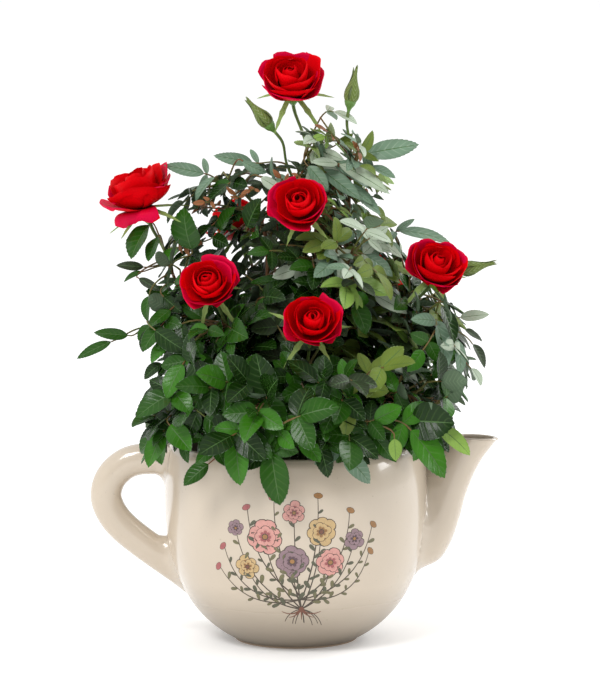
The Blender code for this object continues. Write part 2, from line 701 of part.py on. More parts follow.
def bush(finishes, pot_pieces):
    feet = spread_feet()
    lines = {shoot.name: shoot_path(shoot, feet[shoot.name]) for shoot in SHOOTS}
    stems = {name: stem_line(line) for name, line in lines.items()}
    fixed = {"pot": [mesh_shell(piece) for piece in pot_pieces]}
    for shoot in SHOOTS:
        cane = solid("cane_" + shoot.name, cane_shell(lines[shoot.name]), finishes["cane"])
        fixed["cane_" + shoot.name] = [mesh_shell(cane)]
        fixed["stem_" + shoot.name] = [stem_shell(lines[shoot.name])]
        way = (stems[shoot.name][-1] - stems[shoot.name][-2]).normalized()
        if shoot.carries == "rose":
            stalk = stalk_shell(shoot, stems[shoot.name][-1] + way * GAP)
            rose = fused("rose_" + shoot.name, [stalk] + rose_shells(shoot), finishes["petal"])
            fixed["rose_" + shoot.name] = [mesh_shell(rose)]
        elif shoot.carries == "bud":
            bud = [stalk_shell(shoot, stems[shoot.name][-1] - way * 1.5 * MM)] + bud_shells(shoot)
            fixed["bud_" + shoot.name] = bud
    leaves = {}
    for shoot in sorted(SHOOTS, key=lambda shoot: shoot.tip.z):
        own = {"stem_" + shoot.name, "bud_" + shoot.name}
        others = [shell for name, shells in fixed.items() if name not in own for shell in shells]
        others += [shell for name in leaves for shell in leaves[name]]
        leaves[shoot.name] = grown_leaves(shoot, stems, others)
    for shoot in SHOOTS:
        shells = fixed["stem_" + shoot.name] + fixed.get("bud_" + shoot.name, []) + leaves[shoot.name]
        fused("leaves_" + shoot.name, shells, finishes["leaf"])
        print(shoot.name, len(leaves[shoot.name]), "leaves")


def main():
    for old in list(bpy.data.objects):
        bpy.data.objects.remove(old)
    glaze = material("cream glaze", (0.80, 0.72, 0.58), 0.18)
    earth = material("potting soil", (0.045, 0.028, 0.018), 0.95)
    finishes = {
        "cane": material("rose cane", (0.10, 0.13, 0.03), 0.6),
        "leaf": material("rose leaf", (0.03, 0.11, 0.02), 0.4),
        "petal": material("red petal", (0.55, 0.002, 0.008), 0.5),
    }
    body = pot_body(glaze)
    handle = pot_handle(glaze)
    spout = pot_spout(glaze)
    soil = soil_plug(earth)
    bush(finishes, [body, handle, spout, soil])


main()
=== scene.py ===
"""The looks of a miniature rose bush in a glazed teapot planter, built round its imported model.

Sizes are in metres, and MM turns those that are in millimetres into metres. Every place is in the model's
own frame: +Z up, the spout towards +X, the handle towards -X and the side of the bush that is meant to be
looked at towards -Y. The shoots, the stalks and the places of the leaves follow the same growth rule as the
model's solids. The rule is written again here, and it is carried on to side twigs, leaf stalks and leaflets.
"""

import json
import math
import random

import bmesh
import bpy
import numpy as np
from mathutils import Matrix, Vector
from mathutils.bvhtree import BVHTree

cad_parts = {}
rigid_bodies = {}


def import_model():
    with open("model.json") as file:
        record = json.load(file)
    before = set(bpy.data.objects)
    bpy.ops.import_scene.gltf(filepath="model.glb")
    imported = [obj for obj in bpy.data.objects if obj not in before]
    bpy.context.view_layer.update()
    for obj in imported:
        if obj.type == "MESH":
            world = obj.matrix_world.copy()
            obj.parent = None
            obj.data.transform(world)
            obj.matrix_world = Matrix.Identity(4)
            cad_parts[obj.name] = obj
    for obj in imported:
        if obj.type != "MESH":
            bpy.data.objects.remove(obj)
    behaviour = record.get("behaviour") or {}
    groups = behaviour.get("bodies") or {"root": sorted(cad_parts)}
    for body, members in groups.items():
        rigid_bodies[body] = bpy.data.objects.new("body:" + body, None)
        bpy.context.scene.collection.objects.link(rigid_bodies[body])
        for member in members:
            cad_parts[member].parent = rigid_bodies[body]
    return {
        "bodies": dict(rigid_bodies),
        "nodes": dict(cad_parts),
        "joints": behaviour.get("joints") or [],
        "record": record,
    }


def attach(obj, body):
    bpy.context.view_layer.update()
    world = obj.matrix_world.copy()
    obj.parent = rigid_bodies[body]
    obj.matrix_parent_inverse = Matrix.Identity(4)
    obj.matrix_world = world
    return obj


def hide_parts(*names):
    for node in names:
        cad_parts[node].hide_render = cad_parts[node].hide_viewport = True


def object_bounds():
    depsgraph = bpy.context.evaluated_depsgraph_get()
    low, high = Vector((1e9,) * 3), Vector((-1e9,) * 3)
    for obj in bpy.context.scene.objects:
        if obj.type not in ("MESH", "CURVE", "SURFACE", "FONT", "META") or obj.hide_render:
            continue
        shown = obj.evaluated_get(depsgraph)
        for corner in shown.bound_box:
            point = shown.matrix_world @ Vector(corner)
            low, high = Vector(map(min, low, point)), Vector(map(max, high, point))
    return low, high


bl_info = {
    "name": "Rose bush in a teapot planter",
    "version": (1, 0, 0),
    "blender": (4, 5, 0),
    "location": "View3D > Sidebar > Rose Bush",
    "description": "Dresses the packed rose bush: planter, soil, shoots, leaves, blooms and studio",
    "category": "Object",
}

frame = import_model()
FRAME_BOX = [list(corner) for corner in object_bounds()]

MM = 0.001
UP = Vector((0, 0, 1))
DEPTH = Vector((0, 1, 0))
GOLDEN_TURN = math.radians(137.5)

# ---- Planter, as in the model
BELLY_RADIUS = 88.3 * MM
BELLY_LEVEL = 95 * MM
BELLY_REACH = 101.6 * MM
BELLY_POWER = 2.3
RIM_LEVEL = 134 * MM
WALL = 5.5 * MM
SOIL_LEVEL = 118 * MM
HANDLE_LINE = (  # x and z, and on to a last point within the belly
    (-79, 119), (-96, 121.5), (-112, 119), (-123.5, 109), (-127, 95),
    (-120, 80), (-104, 65.5), (-74, 44), (-56, 31),
)
HANDLE_WIDTH = 21 * MM
HANDLE_DEPTH = 18 * MM
SPOUT_SECTIONS = (  # inner x, inner z, outer x, outer z, half depth
    (66, 74, 70.7, 45.4, 16),
    (74.7, 84.4, 93.3, 51.4, 17),
    (79, 91, 103.3, 64.2, 16.5),
    (83.3, 99.2, 110, 83.1, 15),
    (86.7, 106.7, 113.3, 95.9, 14),
    (90, 113.4, 118, 108.7, 13),
    (94, 121, 123.6, 120, 12.3),
    (98.7, 129.2, 129.6, 128.4, 12),
    (104.7, 137.2, 135.3, 135.8, 12),
)
SPOUT_WALL = 3.4 * MM

# ---- Shoots, as in the model
GAP = 0.3 * MM
FOOT_RADIUS_NEAR = 9 * MM
FOOT_RADIUS_FAR = 34 * MM
FOOT_SPACING = 9 * MM
CANE_RADIUS = 2.3 * MM
STEM_RADIUS = 1.6 * MM
TIP_RADIUS = 1.0 * MM
STALK_RADIUS = 1.25 * MM
FORK_SHARE = 0.36
PATH_STEPS = 32
LEAF_SPACING = 11 * MM
PRICKLE_SPACING = 9 * MM
LEAF_TRIES = 20
RACHIS_LENGTH = 18 * MM
OWN_SPACE = 1.6
ROSE_SEAT = 9 * MM
HIP_FOOT = 11 * MM


class Shoot:
    """One shoot: where its leafy stem ends, which way it then points and the size of its leaves.

    A shoot that carries a flower has its place and the way it faces, and the size of an open rose too.
    """

    def __init__(self, name, tip, way, leaf, place=None, facing=None, size=None):
        self.name = name
        self.tip = Vector(tip) * MM
        self.way = Vector(way).normalized()
        self.leaf = leaf
        self.carries = "rose" if size else "bud" if place else None
        self.place = Vector(place) * MM if place else None
        self.facing = Vector(facing).normalized() if facing else None
        self.size = size or 1.0


SHOOTS = (
    Shoot("top", (7, 2, 331), (-0.15, -0.1, 1), 0.95, (-3, -2, 376), (-0.05, -0.62, 0.78), 1.15),
    Shoot("upper_left", (-87, -9, 262), (-0.3, 0, 0.95), 1.15, (-104, -12, 304), (-0.3, -0.15, 0.94), 1.25),
    Shoot("middle", (12, -28, 268), (-0.2, -0.5, 0.8), 1.0, (3, -54, 299), (-0.12, -0.82, 0.55), 1.06),
    Shoot("left", (-46, -42, 218), (-0.3, -0.5, 0.8), 1.0, (-57, -66, 248), (-0.15, -0.82, 0.55), 1.05),
    Shoot("low_front", (8, -58, 196), (0.05, -0.55, 0.8), 1.0, (11, -88, 226), (0.06, -0.82, 0.55), 1.08),
    Shoot("right", (76, -8, 224), (0.4, -0.3, 0.85), 0.95, (93, -28, 255), (0.18, -0.72, 0.66), 1.08),
    Shoot("back_high", (-30, 42, 248), (-0.2, 0.5, 0.85), 1.0, (-40, 66, 274), (-0.25, 0.7, 0.66), 1.05),
    Shoot("back_low", (42, 58, 206), (0.3, 0.6, 0.75), 1.0, (54, 84, 232), (0.3, 0.77, 0.55), 1.05),
    Shoot("top_left", (-6, 10, 318), (-0.4, 0, 0.9), 0.95, (-18, 6, 345), (-0.64, -0.05, 0.77)),
    Shoot("top_right", (36, 0, 332), (0, 0, 1), 0.95, (36, 0, 361), (0.18, 0, 0.98)),
    Shoot("far_right", (86, 16, 232), (0.65, 0, 0.7), 0.9, (110, 4, 248), (0.97, 0, 0.2)),
    Shoot("high_left", (-58, 6, 308), (-0.97, 0, 0.1), 1.1),
    Shoot("high_right", (48, -8, 318), (0.95, -0.1, 0.3), 0.95),
    Shoot("high_front", (38, -38, 268), (0.3, -0.5, 0.75), 1.0),
    Shoot("mid_right", (70, 20, 256), (0.8, 0.1, 0.5), 1.0),
    Shoot("left_low", (-98, -16, 212), (-0.97, -0.2, 0.0), 1.05),
    Shoot("right_low", (97, -22, 214), (0.6, -0.3, -0.5), 1.1),
    Shoot("left_rim", (-76, -56, 160), (-0.4, -0.4, -0.8), 1.15),
    Shoot("front_rim", (-24, -90, 156), (-0.05, -0.4, -0.9), 1.2),
    Shoot("front_right_rim", (34, -86, 158), (0.15, -0.4, -0.9), 1.15),
    Shoot("right_rim", (86, -50, 160), (0.4, -0.3, -0.85), 1.2),
    Shoot("back_left_rim", (-70, 56, 172), (-0.5, 0.5, -0.45), 1.2),
    Shoot("back_rim", (-2, 90, 160), (0, 0.6, -0.7), 1.2),
    Shoot("back_right_rim", (80, 48, 166), (0.55, 0.4, -0.5), 1.2),
)

# ---- Leaf tones, with the roughness of each: a leaf takes one tone for the upper face of its leaflets
# Some tones are painted light and shade: deep and dusky paint the shade within the crown, bright paints light
# on low leaves, and sage adds painted glare.
ROUGHNESS = {
    "deep": 0.15,
    "mid": 0.14,
    "bright": 0.14,
    "light": 0.28,
    "dusky": 0.28,
    "sage": 0.3,
    "mint": 0.24,
    "ruddy": 0.34,
    "olive": 0.36,
}
TONES = tuple(ROUGHNESS)
# The tones that single leaflets of a leaf may take instead of its own.
NEAR_TONES = {
    "deep": ("deep", "deep", "mid"),
    "mid": ("mid", "mid", "bright", "deep"),
    "bright": ("bright", "bright", "mid"),
    "sage": ("sage", "sage", "mint"),
}

# Leaves that stand out at the crown's face and edge. Each row is the foot of the end leaflet and its tip, in
# millimetres, its width as a share of its length and its tone. A leaf with a pair of side leaflets has their
# size too, as a share of the end leaflet's. Each leaf grows from the nearest stem.
EDGE_LEAVES = (
    (-97, -40, 214, -104, -44, 200, 0.58, "mid", 0.8),
    (-84, -50, 206, -98, -54, 196, 0.62, "bright", 0.8),
    (-70, -52, 204, -80, -58, 186, 0.62, "mid", 0.8),
    (-88, -46, 192, -100, -50, 182, 0.6, "deep", 0.8),
    (46, -30, 262, 66, -34, 250, 0.46, "sage", 0.7),
    (40, -40, 246, 62, -44, 240, 0.5, "light", 0.7),
    (52, -34, 236, 74, -40, 226, 0.48, "sage"),
    (38, -46, 232, 50, -52, 214, 0.6, "bright", 0.7),
    (23, -10, 324, 52, -14, 309, 0.36, "mint"),
    (17, -14, 317, 45, -18, 298, 0.36, "sage", 0.6),
    (33, -12, 308, 59, -16, 289, 0.36, "mint"),
    (15, -8, 329, 33, -10, 324, 0.4, "sage", 0.7),
    (8, -20, 320, 25, -24, 307, 0.44, "sage"),
    (17, -2, 336, 3, -4, 342, 0.5, "dusky"),
    (27, -4, 333, 37, -6, 342, 0.5, "olive"),
    (40, -14, 274, 59, -18, 257, 0.44, "mint", 0.7),
    (33, -20, 266, 47, -24, 252, 0.52, "olive"),
    (53, -8, 270, 71, -12, 258, 0.42, "sage"),
    (-91, -20, 273, -97, -24, 256, 0.62, "mid"),
    (-79, -18, 265, -92, -22, 256, 0.7, "mid"),
    (-60, -8, 306, -71, -12, 293, 0.62, "dusky"),
    (-45, -10, 307, -60, -14, 295, 0.6, "deep", 0.8),
    (-23, -16, 312, -8, -20, 301, 0.4, "sage"),
    (-56, -6, 279, -69, -10, 272, 0.66, "deep", 0.8),
    (-97, -30, 235, -100, -34, 218, 0.5, "mid"),
    (-87, -34, 235, -73, -38, 227, 0.56, "deep"),
    (-80, -50, 215, -91, -54, 202, 0.6, "mid", 0.8),
    (96, -44, 200, 88, -50, 182, 0.56, "mid", 0.8),
    (83, -60, 203, 72, -64, 189, 0.6, "mid", 0.8),
    (-47, 20, 296, -35, 16, 281, 0.6, "deep"),
    (-32, 14, 272, -47, 10, 267, 0.62, "dusky"),
    (-53, 26, 285, -40, 22, 290, 0.62, "deep"),
    (-29, 10, 290, -37, 8, 274, 0.6, "deep", 0.8),
    (-43, 12, 278, -55, 6, 269, 0.6, "mid"),
    (51, 16, 252, 64, 12, 242, 0.56, "deep", 0.8),
    (59, 10, 241, 47, 6, 233, 0.56, "sage"),
    (75, -86, 154, 96, -94, 122, 0.5, "bright", 0.62),
    (75, -78, 159, 104, -84, 163, 0.84, "deep"),
    (93, -78, 155, 118, -80, 142, 0.42, "light"),
    (64, -96, 150, 61, -98, 136, 0.62, "light"),
    (31, -104, 141, 55, -104, 129, 0.5, "sage", 0.7),
    (33, -98, 172, 33, -104, 152, 0.56, "olive"),
    (93, -40, 217, 106, -46, 186, 0.44, "mint", 0.6),
    (106, -30, 206, 111, -34, 181, 0.42, "sage"),
    (96, -34, 229, 105, -40, 204, 0.46, "deep"),
    (109, -10, 218, 128, -14, 222, 0.38, "sage"),
    (117, -24, 202, 126, -28, 187, 0.5, "dusky"),
    (116, -26, 186, 126, -28, 177, 0.52, "sage"),
    (101, -34, 184, 113, -38, 175, 0.55, "mid", 0.8),
    (112, -16, 211, 123, -18, 202, 0.5, "dusky"),
    (47, -6, 327, 81, -10, 337, 0.36, "mint", 0.45),
    (49, -12, 319, 65, -16, 309, 0.44, "mint"),
    (29, -18, 321, 63, -24, 301, 0.3, "sage", 0.6),
    (38, -20, 303, 52, -22, 298, 0.36, "mint"),
    (51, -10, 293, 61, -14, 285, 0.52, "olive"),
    (43, -16, 289, 49, -18, 280, 0.52, "light"),
    (69, 4, 274, 105, 0, 269, 0.3, "mint", 0.5),
    (25, 0, 354, 41, -2, 346, 0.46, "sage", 0.7),
    (-29, 4, 320, -54, 0, 328, 0.32, "mint", 0.5),
    (-61, 0, 313, -88, -4, 319, 0.32, "mint", 0.5),
    (-54, -6, 311, -71, -10, 299, 0.38, "mint"),
    (-51, -10, 276, -43, -14, 294, 0.66, "deep", 0.8),
    (-60, -20, 296, -74, -24, 299, 0.42, "ruddy", 0.7),
    (-40, -20, 301, -50, -24, 312, 0.42, "ruddy", 0.7),
    (-30, -20, 304, -42, -24, 301, 0.42, "ruddy", 0.7),
    (-10, -20, 312, -17, -24, 324, 0.42, "ruddy", 0.7),
    (-2, -22, 312, -14, -26, 309, 0.42, "ruddy", 0.7),
    (-35, -8, 322, -22, -12, 310, 0.4, "mint"),
    (-69, -22, 265, -84, -26, 290, 0.8, "deep"),
    (-32, -24, 280, -23, -26, 301, 0.72, "deep"),
    (-97, -20, 281, -108, -26, 258, 0.66, "mid"),
    (-101, -12, 252, -119, -14, 256, 0.34, "dusky"),
    (-102, -14, 249, -116, -16, 246, 0.34, "mid"),
    (-104, -16, 245, -87, -18, 242, 0.34, "dusky"),
    (-111, -32, 209, -133, -34, 215, 0.34, "mid"),
    (-122, -34, 205, -146, -36, 197, 0.36, "mid"),
    (-83, -40, 227, -99, -46, 217, 0.62, "mid"),
    (-89, -46, 217, -104, -52, 203, 0.62, "deep", 0.7),
    (-92, -58, 216, -71, -64, 201, 0.5, "mid"),
    (-74, -70, 195, -85, -76, 173, 0.56, "bright", 0.7),
    (-67, -72, 201, -48, -78, 186, 0.78, "mid"),
    (-82, -74, 176, -105, -80, 162, 0.64, "mid", 0.75),
    (-87, -72, 150, -97, -78, 128, 0.64, "bright"),
    (-57, -94, 133, -74, -96, 120, 0.56, "mid"),
    (-82, -84, 157, -64, -92, 142, 0.6, "bright"),
    (-59, -92, 164, -39, -98, 149, 0.6, "mid", 0.7),
    (-39, -104, 150, -30, -112, 123, 0.54, "bright"),
    (-35, -104, 156, -11, -108, 143, 0.54, "bright", 0.7),
    (-16, -108, 143, -13, -114, 108, 0.52, "deep", 0.6),
    (3, -106, 155, 13, -110, 135, 0.56, "mid", 0.75),
    (15, -104, 149, 28, -108, 129, 0.5, "deep"),
    (51, -92, 162, 68, -94, 173, 0.62, "mid", 0.75),
)

# ---- Helpers for meshes. A skin is (points, faces), and may go on with a slot for each face and then a place
# on the UV map for each corner.


def joined(skins):
    """One skin of many: slots and places are strung together too."""
    points, faces, *others = ([] for _ in skins[0])
    for some, more, *extras in skins:
        start = len(points)
        points += list(some)
        faces += [tuple(i + start for i in face) for face in more]
        for whole, part in zip(others, extras):
            whole += list(part)
    return points, faces, *others


def placed(name, data):
    """A new object in the scene."""
    made = bpy.data.objects.new(name, data)
    bpy.context.scene.collection.objects.link(made)
    return made


def plain_mesh(name, points, faces=()):
    mesh = bpy.data.meshes.new(name)
    mesh.from_pydata([tuple(p) for p in points], [], [tuple(f) for f in faces])
    return mesh


def mark_places(mesh, places):
    layer = mesh.uv_layers.new(name="blade")
    layer.uv.foreach_set("vector", np.asarray(places, np.float32).ravel())


def dressed(mesh, finishes, sharp):
    """The mesh as an object with its finishes, smooth but for edges sharper than so many degrees."""
    for finish in finishes:
        mesh.materials.append(finish)
    mesh.shade_smooth()
    if sharp:
        mesh.set_sharp_from_angle(angle=math.radians(sharp))
    return placed(mesh.name, mesh)


def mesh_piece(name, skin, finishes, sharp=60):
    """An object from a skin, with a finish for each slot number."""
    points, faces, slots, places = (*skin, None, None)[:4]
    mesh = plain_mesh(name, points, faces)
    if slots is not None:
        mesh.polygons.foreach_set("material_index", np.asarray(slots, np.int32))
    if places is not None:
        mark_places(mesh, places)
    return dressed(mesh, finishes, sharp)


def face_out(piece):
    """Joins doubled points and turns every closed or open shell of the piece to face out."""
    work = bmesh.new()
    work.from_mesh(piece.data)
    bmesh.ops.remove_doubles(work, verts=work.verts, dist=0.005 * MM)
    bmesh.ops.recalc_face_normals(work, faces=work.faces)
    work.to_mesh(piece.data)
    work.free()


def seat(piece, slot, *nodes):
    """Rides the piece on the one body and hides the nodes it stands for. The slot is not used."""
    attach(piece, "root")
    if nodes:
        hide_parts(*nodes)


def curve_points(controls, steps):
    """A smooth line through the control points."""
    ends = [controls[0] * 2 - controls[1]] + list(controls) + [controls[-1] * 2 - controls[-2]]
    line = []
    for step in range(steps):
        at = step * (len(controls) - 1) / (steps - 1)
        k = min(int(at), len(controls) - 2)
        t = at - k
        a, b, c, d = ends[k : k + 4]
        square, cube = (a * 2 - b * 5 + c * 4 - d) * t**2, (b * 3 - a - c * 3 + d) * t**3
        line.append(0.5 * (b * 2 + (c - a) * t + square + cube))
    return line


def bezier(a, b, c, d, steps):
    """A curve from a to d that leaves towards b and arrives from c."""
    line = []
    for step in range(steps + 1):
        t = step / steps
        s = 1 - t
        line.append(a * s**3 + b * 3 * s**2 * t + c * 3 * s * t**2 + d * t**3)
    return line


def line_length(line):
    return sum((b - a).length for a, b in zip(line, line[1:]))


def stretch(line, start, end, count):
    """Points evenly spread along a line, from one share of its length to another."""
    lengths = [0.0]
    for a, b in zip(line, line[1:]):
        lengths.append(lengths[-1] + (b - a).length)
    points = []
    for k in range(count):
        want = lengths[-1] * (start + (end - start) * k / (count - 1))
        i = max(j for j in range(len(line) - 1) if lengths[j] <= want + 1e-9)
        share = (want - lengths[i]) / (lengths[i + 1] - lengths[i])
        points.append(line[i].lerp(line[i + 1], min(share, 1.0)))
    return points


def sideways(axis, turn):
    """A way at right angles to an axis, turned round it."""
    return Matrix.Rotation(turn, 3, axis) @ axis.orthogonal().normalized()


def facing_matrix(place, forward, upward):
    """The frame at a place whose +X goes forward and whose +Z leans towards upward."""
    x = forward.normalized()
    y = upward.cross(x).normalized()
    z = x.cross(y)
    return Matrix((*zip(x, y, z, place), (0, 0, 0, 1)))


def circle(sides, radius, level):
    angles = [math.tau * k / sides for k in range(sides)]
    return [Vector((radius * math.cos(angle), radius * math.sin(angle), level)) for angle in angles]


def way_at(line, i):
    """Which way a line runs at its point i."""
    return (line[min(i + 1, len(line) - 1)] - line[max(i - 1, 0)]).normalized()


def ring_faces(rings, sides, closed_end=True):
    """The faces between rings of points and over the first ring, and over the last one if it is closed."""
    faces = []
    for r in range(rings - 1):
        for k in range(sides):
            a, b = r * sides + k, r * sides + (k + 1) % sides
            faces.append((a, b, b + sides, a + sides))
    faces.append(tuple(reversed(range(sides))))
    last = (rings - 1) * sides
    return faces + [tuple(range(last, last + sides))] * closed_end


def tube(line, radii, sides, relief=0.0, dice=None):
    """A tapering tube along a line, with a relief of ridges that run along it where one is asked for."""
    ways = [way_at(line, i) for i in range(len(line))]
    across = ways[0].orthogonal()
    ridge = [dice.uniform(-relief, relief) for _ in range(sides)] if relief else [0.0] * sides
    points = []
    for point, way, radius in zip(line, ways, radii):
        across = (across - way * across.dot(way)).normalized()
        along = way.cross(across)
        for k in range(sides):
            angle = math.tau * k / sides
            bump = dice.uniform(-relief, relief) * 0.7 if relief else 0.0
            reach = radius * (1 + ridge[k] + bump)
            points.append(point + (across * math.cos(angle) + along * math.sin(angle)) * reach)
    return points, ring_faces(len(line), sides)


# ---- Finishes


class Signal:
    """A number in a shader. Sums, products and powers of it add Math nodes."""

    def __init__(self, finish, socket):
        self.finish = finish
        self.socket = socket

    def maths(self, operation, *terms):
        made = self.finish.node("Math", {"operation": operation}, dict(enumerate(terms)))
        return Signal(self.finish, made.outputs[0])

    def clamped(self):
        return self.maths("MINIMUM", self.maths("MAXIMUM", self, 0.0), 1.0)

    def wave(self, count):
        """A sine that runs through so many turns as the signal goes from 0 to 1, as 0 to 1."""
        return self.maths("SINE", self * (count * math.tau)) * 0.5 + 0.5


def arithmetic(operation, turned_round=False):
    """A method of Signal: a Math node on the signal and on what stands on the other side of the sign."""

    def method(signal, *other):
        terms = (*other, signal) if turned_round else (signal, *other)
        return signal.maths(operation, *terms)

    return method


for sign, operation in (("add", "ADD"), ("sub", "SUBTRACT"), ("mul", "MULTIPLY")):
    setattr(Signal, f"__{sign}__", arithmetic(operation))
    setattr(Signal, f"__r{sign}__", arithmetic(operation, True))
for sign, operation in (("truediv", "DIVIDE"), ("pow", "POWER"), ("abs", "ABSOLUTE")):
    setattr(Signal, f"__{sign}__", arithmetic(operation))


def feed(socket, value):
    """Gives a socket a constant, or a link from a signal or another socket."""
    value = value.socket if isinstance(value, Signal) else value
    if isinstance(value, bpy.types.NodeSocket):
        socket.id_data.links.new(value, socket)
    else:
        socket.default_value = (*value, 1) if socket.type == "RGBA" else value


def add_node(tree, kind, settings=None, inputs=None):
    """A node of a kind, with its settings made first and then the values or links of its sockets."""
    made = tree.nodes.new(kind)
    for name, value in (settings or {}).items():
        if name == "stops":
            for element, (place, color) in zip(made.color_ramp.elements, value):
                element.position = place
                element.color = (*color, 1)
        else:
            setattr(made, name, value)
    for name, value in (inputs or {}).items():
        feed(made.inputs[name], value)
    return made


class Finish:
    """A material: a Principled shader whose sockets take numbers, colours or signals."""

    def __init__(self, name, **constants):
        self.material = bpy.data.materials.new(name)
        self.material.use_nodes = True
        self.tree = self.material.node_tree
        self.shader = self.tree.nodes["Principled BSDF"]
        self.put(constants)

    def node(self, kind, settings=None, inputs=None):
        return add_node(self.tree, "ShaderNode" + kind, settings, inputs)

    def put(self, values):
        for name, value in values.items():
            feed(self.shader.inputs[name.replace("_", " ")], value)

    def coat(self, tint, roughness):
        self.put({"Base Color": tint, "Roughness": roughness})

    def place(self):
        return self.node("TexCoord").outputs["Object"]

    def height(self):
        """The height above the foot, in metres."""
        return Signal(self, self.node("SeparateXYZ", inputs={0: self.place()}).outputs["Z"])

    def noise(self, scale, detail, roughness=0.5, stretch=(1, 1, 1)):
        """A noise of so many lumps to the metre, with finer detail on them."""
        place = self.node("Mapping", inputs={"Vector": self.place(), "Scale": stretch}).outputs[0]
        inputs = {"Vector": place, "Scale": scale, "Detail": detail, "Roughness": roughness}
        return Signal(self, self.node("TexNoise", inputs=inputs).outputs["Fac"])

    def on_blade(self):
        """(across, along) on a leaflet or a petal: across is 0 at the midrib and 1 at either margin."""
        place = self.node("UVMap", {"uv_map": "blade"}).outputs[0]
        split = self.node("SeparateXYZ", inputs={0: place})
        return abs(Signal(self, split.outputs["X"]) * 2 - 1), Signal(self, split.outputs["Y"])

    def mix(self, share, first, second):
        made = self.node("Mix", {"data_type": "RGBA", "clamp_factor": True}, {0: share, 6: first, 7: second})
        return made.outputs[2]

    def shades(self, share, color, dark, light):
        """The colour, from dark times itself to light times itself."""
        return self.mix(share, scaled(color, dark), scaled(color, light))

    def bump(self, height, distance, strength):
        made = self.node("Bump", inputs={"Height": height, "Distance": distance, "Strength": strength})
        feed(self.shader.inputs["Normal"], made.outputs[0])


def scaled(color, *factors):
    """A colour times one factor, or times a factor for each of its channels."""
    return tuple(min(1.0, c * factor) for c, factor in zip(color, factors * 3))


BARE_FOOT = 0.9 * MM  # the foot ring is bare clay up to here
SHADED_FOOT_HEIGHT = 46 * MM  # the glaze is painted darker as shade, and is duller, up to here
BARE_CLAY = (0.36, 0.27, 0.19)


def glaze_finish(color):
    """A cream glaze over earthenware: glossy, a little uneven, with painted shade that darkens it below, and
    a bare foot ring.
    """
    made = Finish("cream glaze", Specular_IOR_Level=0.5, Coat_Roughness=0.06)
    cloud = made.noise(9, 4)
    speck = made.noise(420, 2)
    tint = made.shades((cloud - 0.35) * 1.6, color, 0.94, 1.05)
    tint = made.mix(((speck - 0.69) * 9).clamped() * 0.35, tint, scaled(color, 0.55))
    bare = (1 - (made.height() - BARE_FOOT) / (0.8 * MM)).clamped()
    # Painted shade: the glaze darkens towards the foot, and the same share makes it duller there.
    low_shade_and_dull_glaze = (1 - made.height() / SHADED_FOOT_HEIGHT).clamped() ** 1.25
    tint = made.mix(low_shade_and_dull_glaze * 0.9, tint, scaled(color, 0.15, 0.13, 0.10))
    made.put(
        {
            "Base Color": made.mix(bare, tint, BARE_CLAY),
            "Roughness": 0.13 + cloud * 0.12 + low_shade_and_dull_glaze * 0.3 + bare * 0.3,
            "Coat Weight": (1 - low_shade_and_dull_glaze * 1.4).clamped() * 0.6,
        }
    )
    made.bump(made.noise(38, 2) + made.noise(300, 2) * 0.05, 0.5 * MM, 0.35)
    return made.material


def soil_finish(name, color):
    made = Finish(name, Specular_IOR_Level=0.2)
    grain = made.noise(900, 5, 0.7)
    made.coat(made.shades(grain, color, 0.5, 1.9), 0.8 + grain * 0.2)
    made.bump(grain, 1.2 * MM, 0.8)
    return made.material


def bark_finish(name, young, old, streaks):
    """The skin of a shoot: its young colour, with so many streaks of the old one to the metre."""
    made = Finish(name, Specular_IOR_Level=0.4)
    streak = made.noise(streaks, 4, 0.6, stretch=(1, 1, 0.35))
    pore = made.noise(1400, 3, 0.6, stretch=(1, 1, 0.25))
    tint = made.mix((streak - 0.38) * 3.2, young, old)
    made.coat(made.mix((pore - 0.55) * 2, tint, scaled(old, 0.55)), 0.42 + pore * 0.25)
    made.bump(pore + streak * 0.5, 0.25 * MM, 0.6)
    return made.material


SIDE_VEINS = 7
GREEN_VEIN = (0.12, 0.21, 0.06)
# Pale grey veins that also paint streaks of glare on sage and mint leaves
GREY_VEIN_AND_GLARE = (0.50, 0.58, 0.46)


def blade_finish(name, color, roughness, vein, pale=GREEN_VEIN):
    """A leaflet's face: a waxy skin with sunk side veins that leave the midrib at a slant."""
    made = Finish(name, Specular_IOR_Level=0.21)
    across, along = made.on_blade()
    veins = (along - across * 0.2).wave(SIDE_VEINS)
    furrow = (veins ** 8) * (1 - across * 0.8)
    cloud = made.noise(60, 3)
    grain = made.noise(900, 2)
    tint = made.shades(cloud, color, 0.65, 1.35)
    tint = made.mix((across ** 3) * 0.3, tint, scaled(color, 0.6))
    tint = made.mix(furrow * vein, tint, pale)
    made.coat(tint, roughness + cloud * 0.14 + grain * 0.06)
    made.bump(0.4 * grain - furrow, 0.3 * MM, 0.5)
    return made.material


def rib_finish(name, color):
    made = Finish(name, Specular_IOR_Level=0.45)
    cloud = made.noise(140, 3)
    made.coat(made.shades(cloud, color, 0.75, 1.25), 0.4 + cloud * 0.15)
    made.bump(made.noise(1200, 2), 0.1 * MM, 0.5)
    return made.material


def petal_finish(name, heart, edge, reach):
    """A velvety petal: darker at its claw, with the edge's colour from the reach on, and finely veined."""
    made = Finish(name, Specular_IOR_Level=0.05)
    across, along = made.on_blade()
    cloud = made.noise(70, 3)
    vein = (across + cloud * 0.12).wave(11)
    tint = made.mix((along * 1.6 + cloud * 0.5 - 0.25).clamped(), scaled(heart, 0.35), heart)
    rim = ((along - reach) * 2.6 + (across ** 4) * 0.4 + (cloud - 0.5) * 0.9).clamped()
    made.coat(made.mix(rim * 0.85, tint, edge), 0.42 + cloud * 0.2)
    made.bump(vein * 0.5 + made.noise(1500, 2) * 0.5, 0.12 * MM, 0.5)
    return made.material


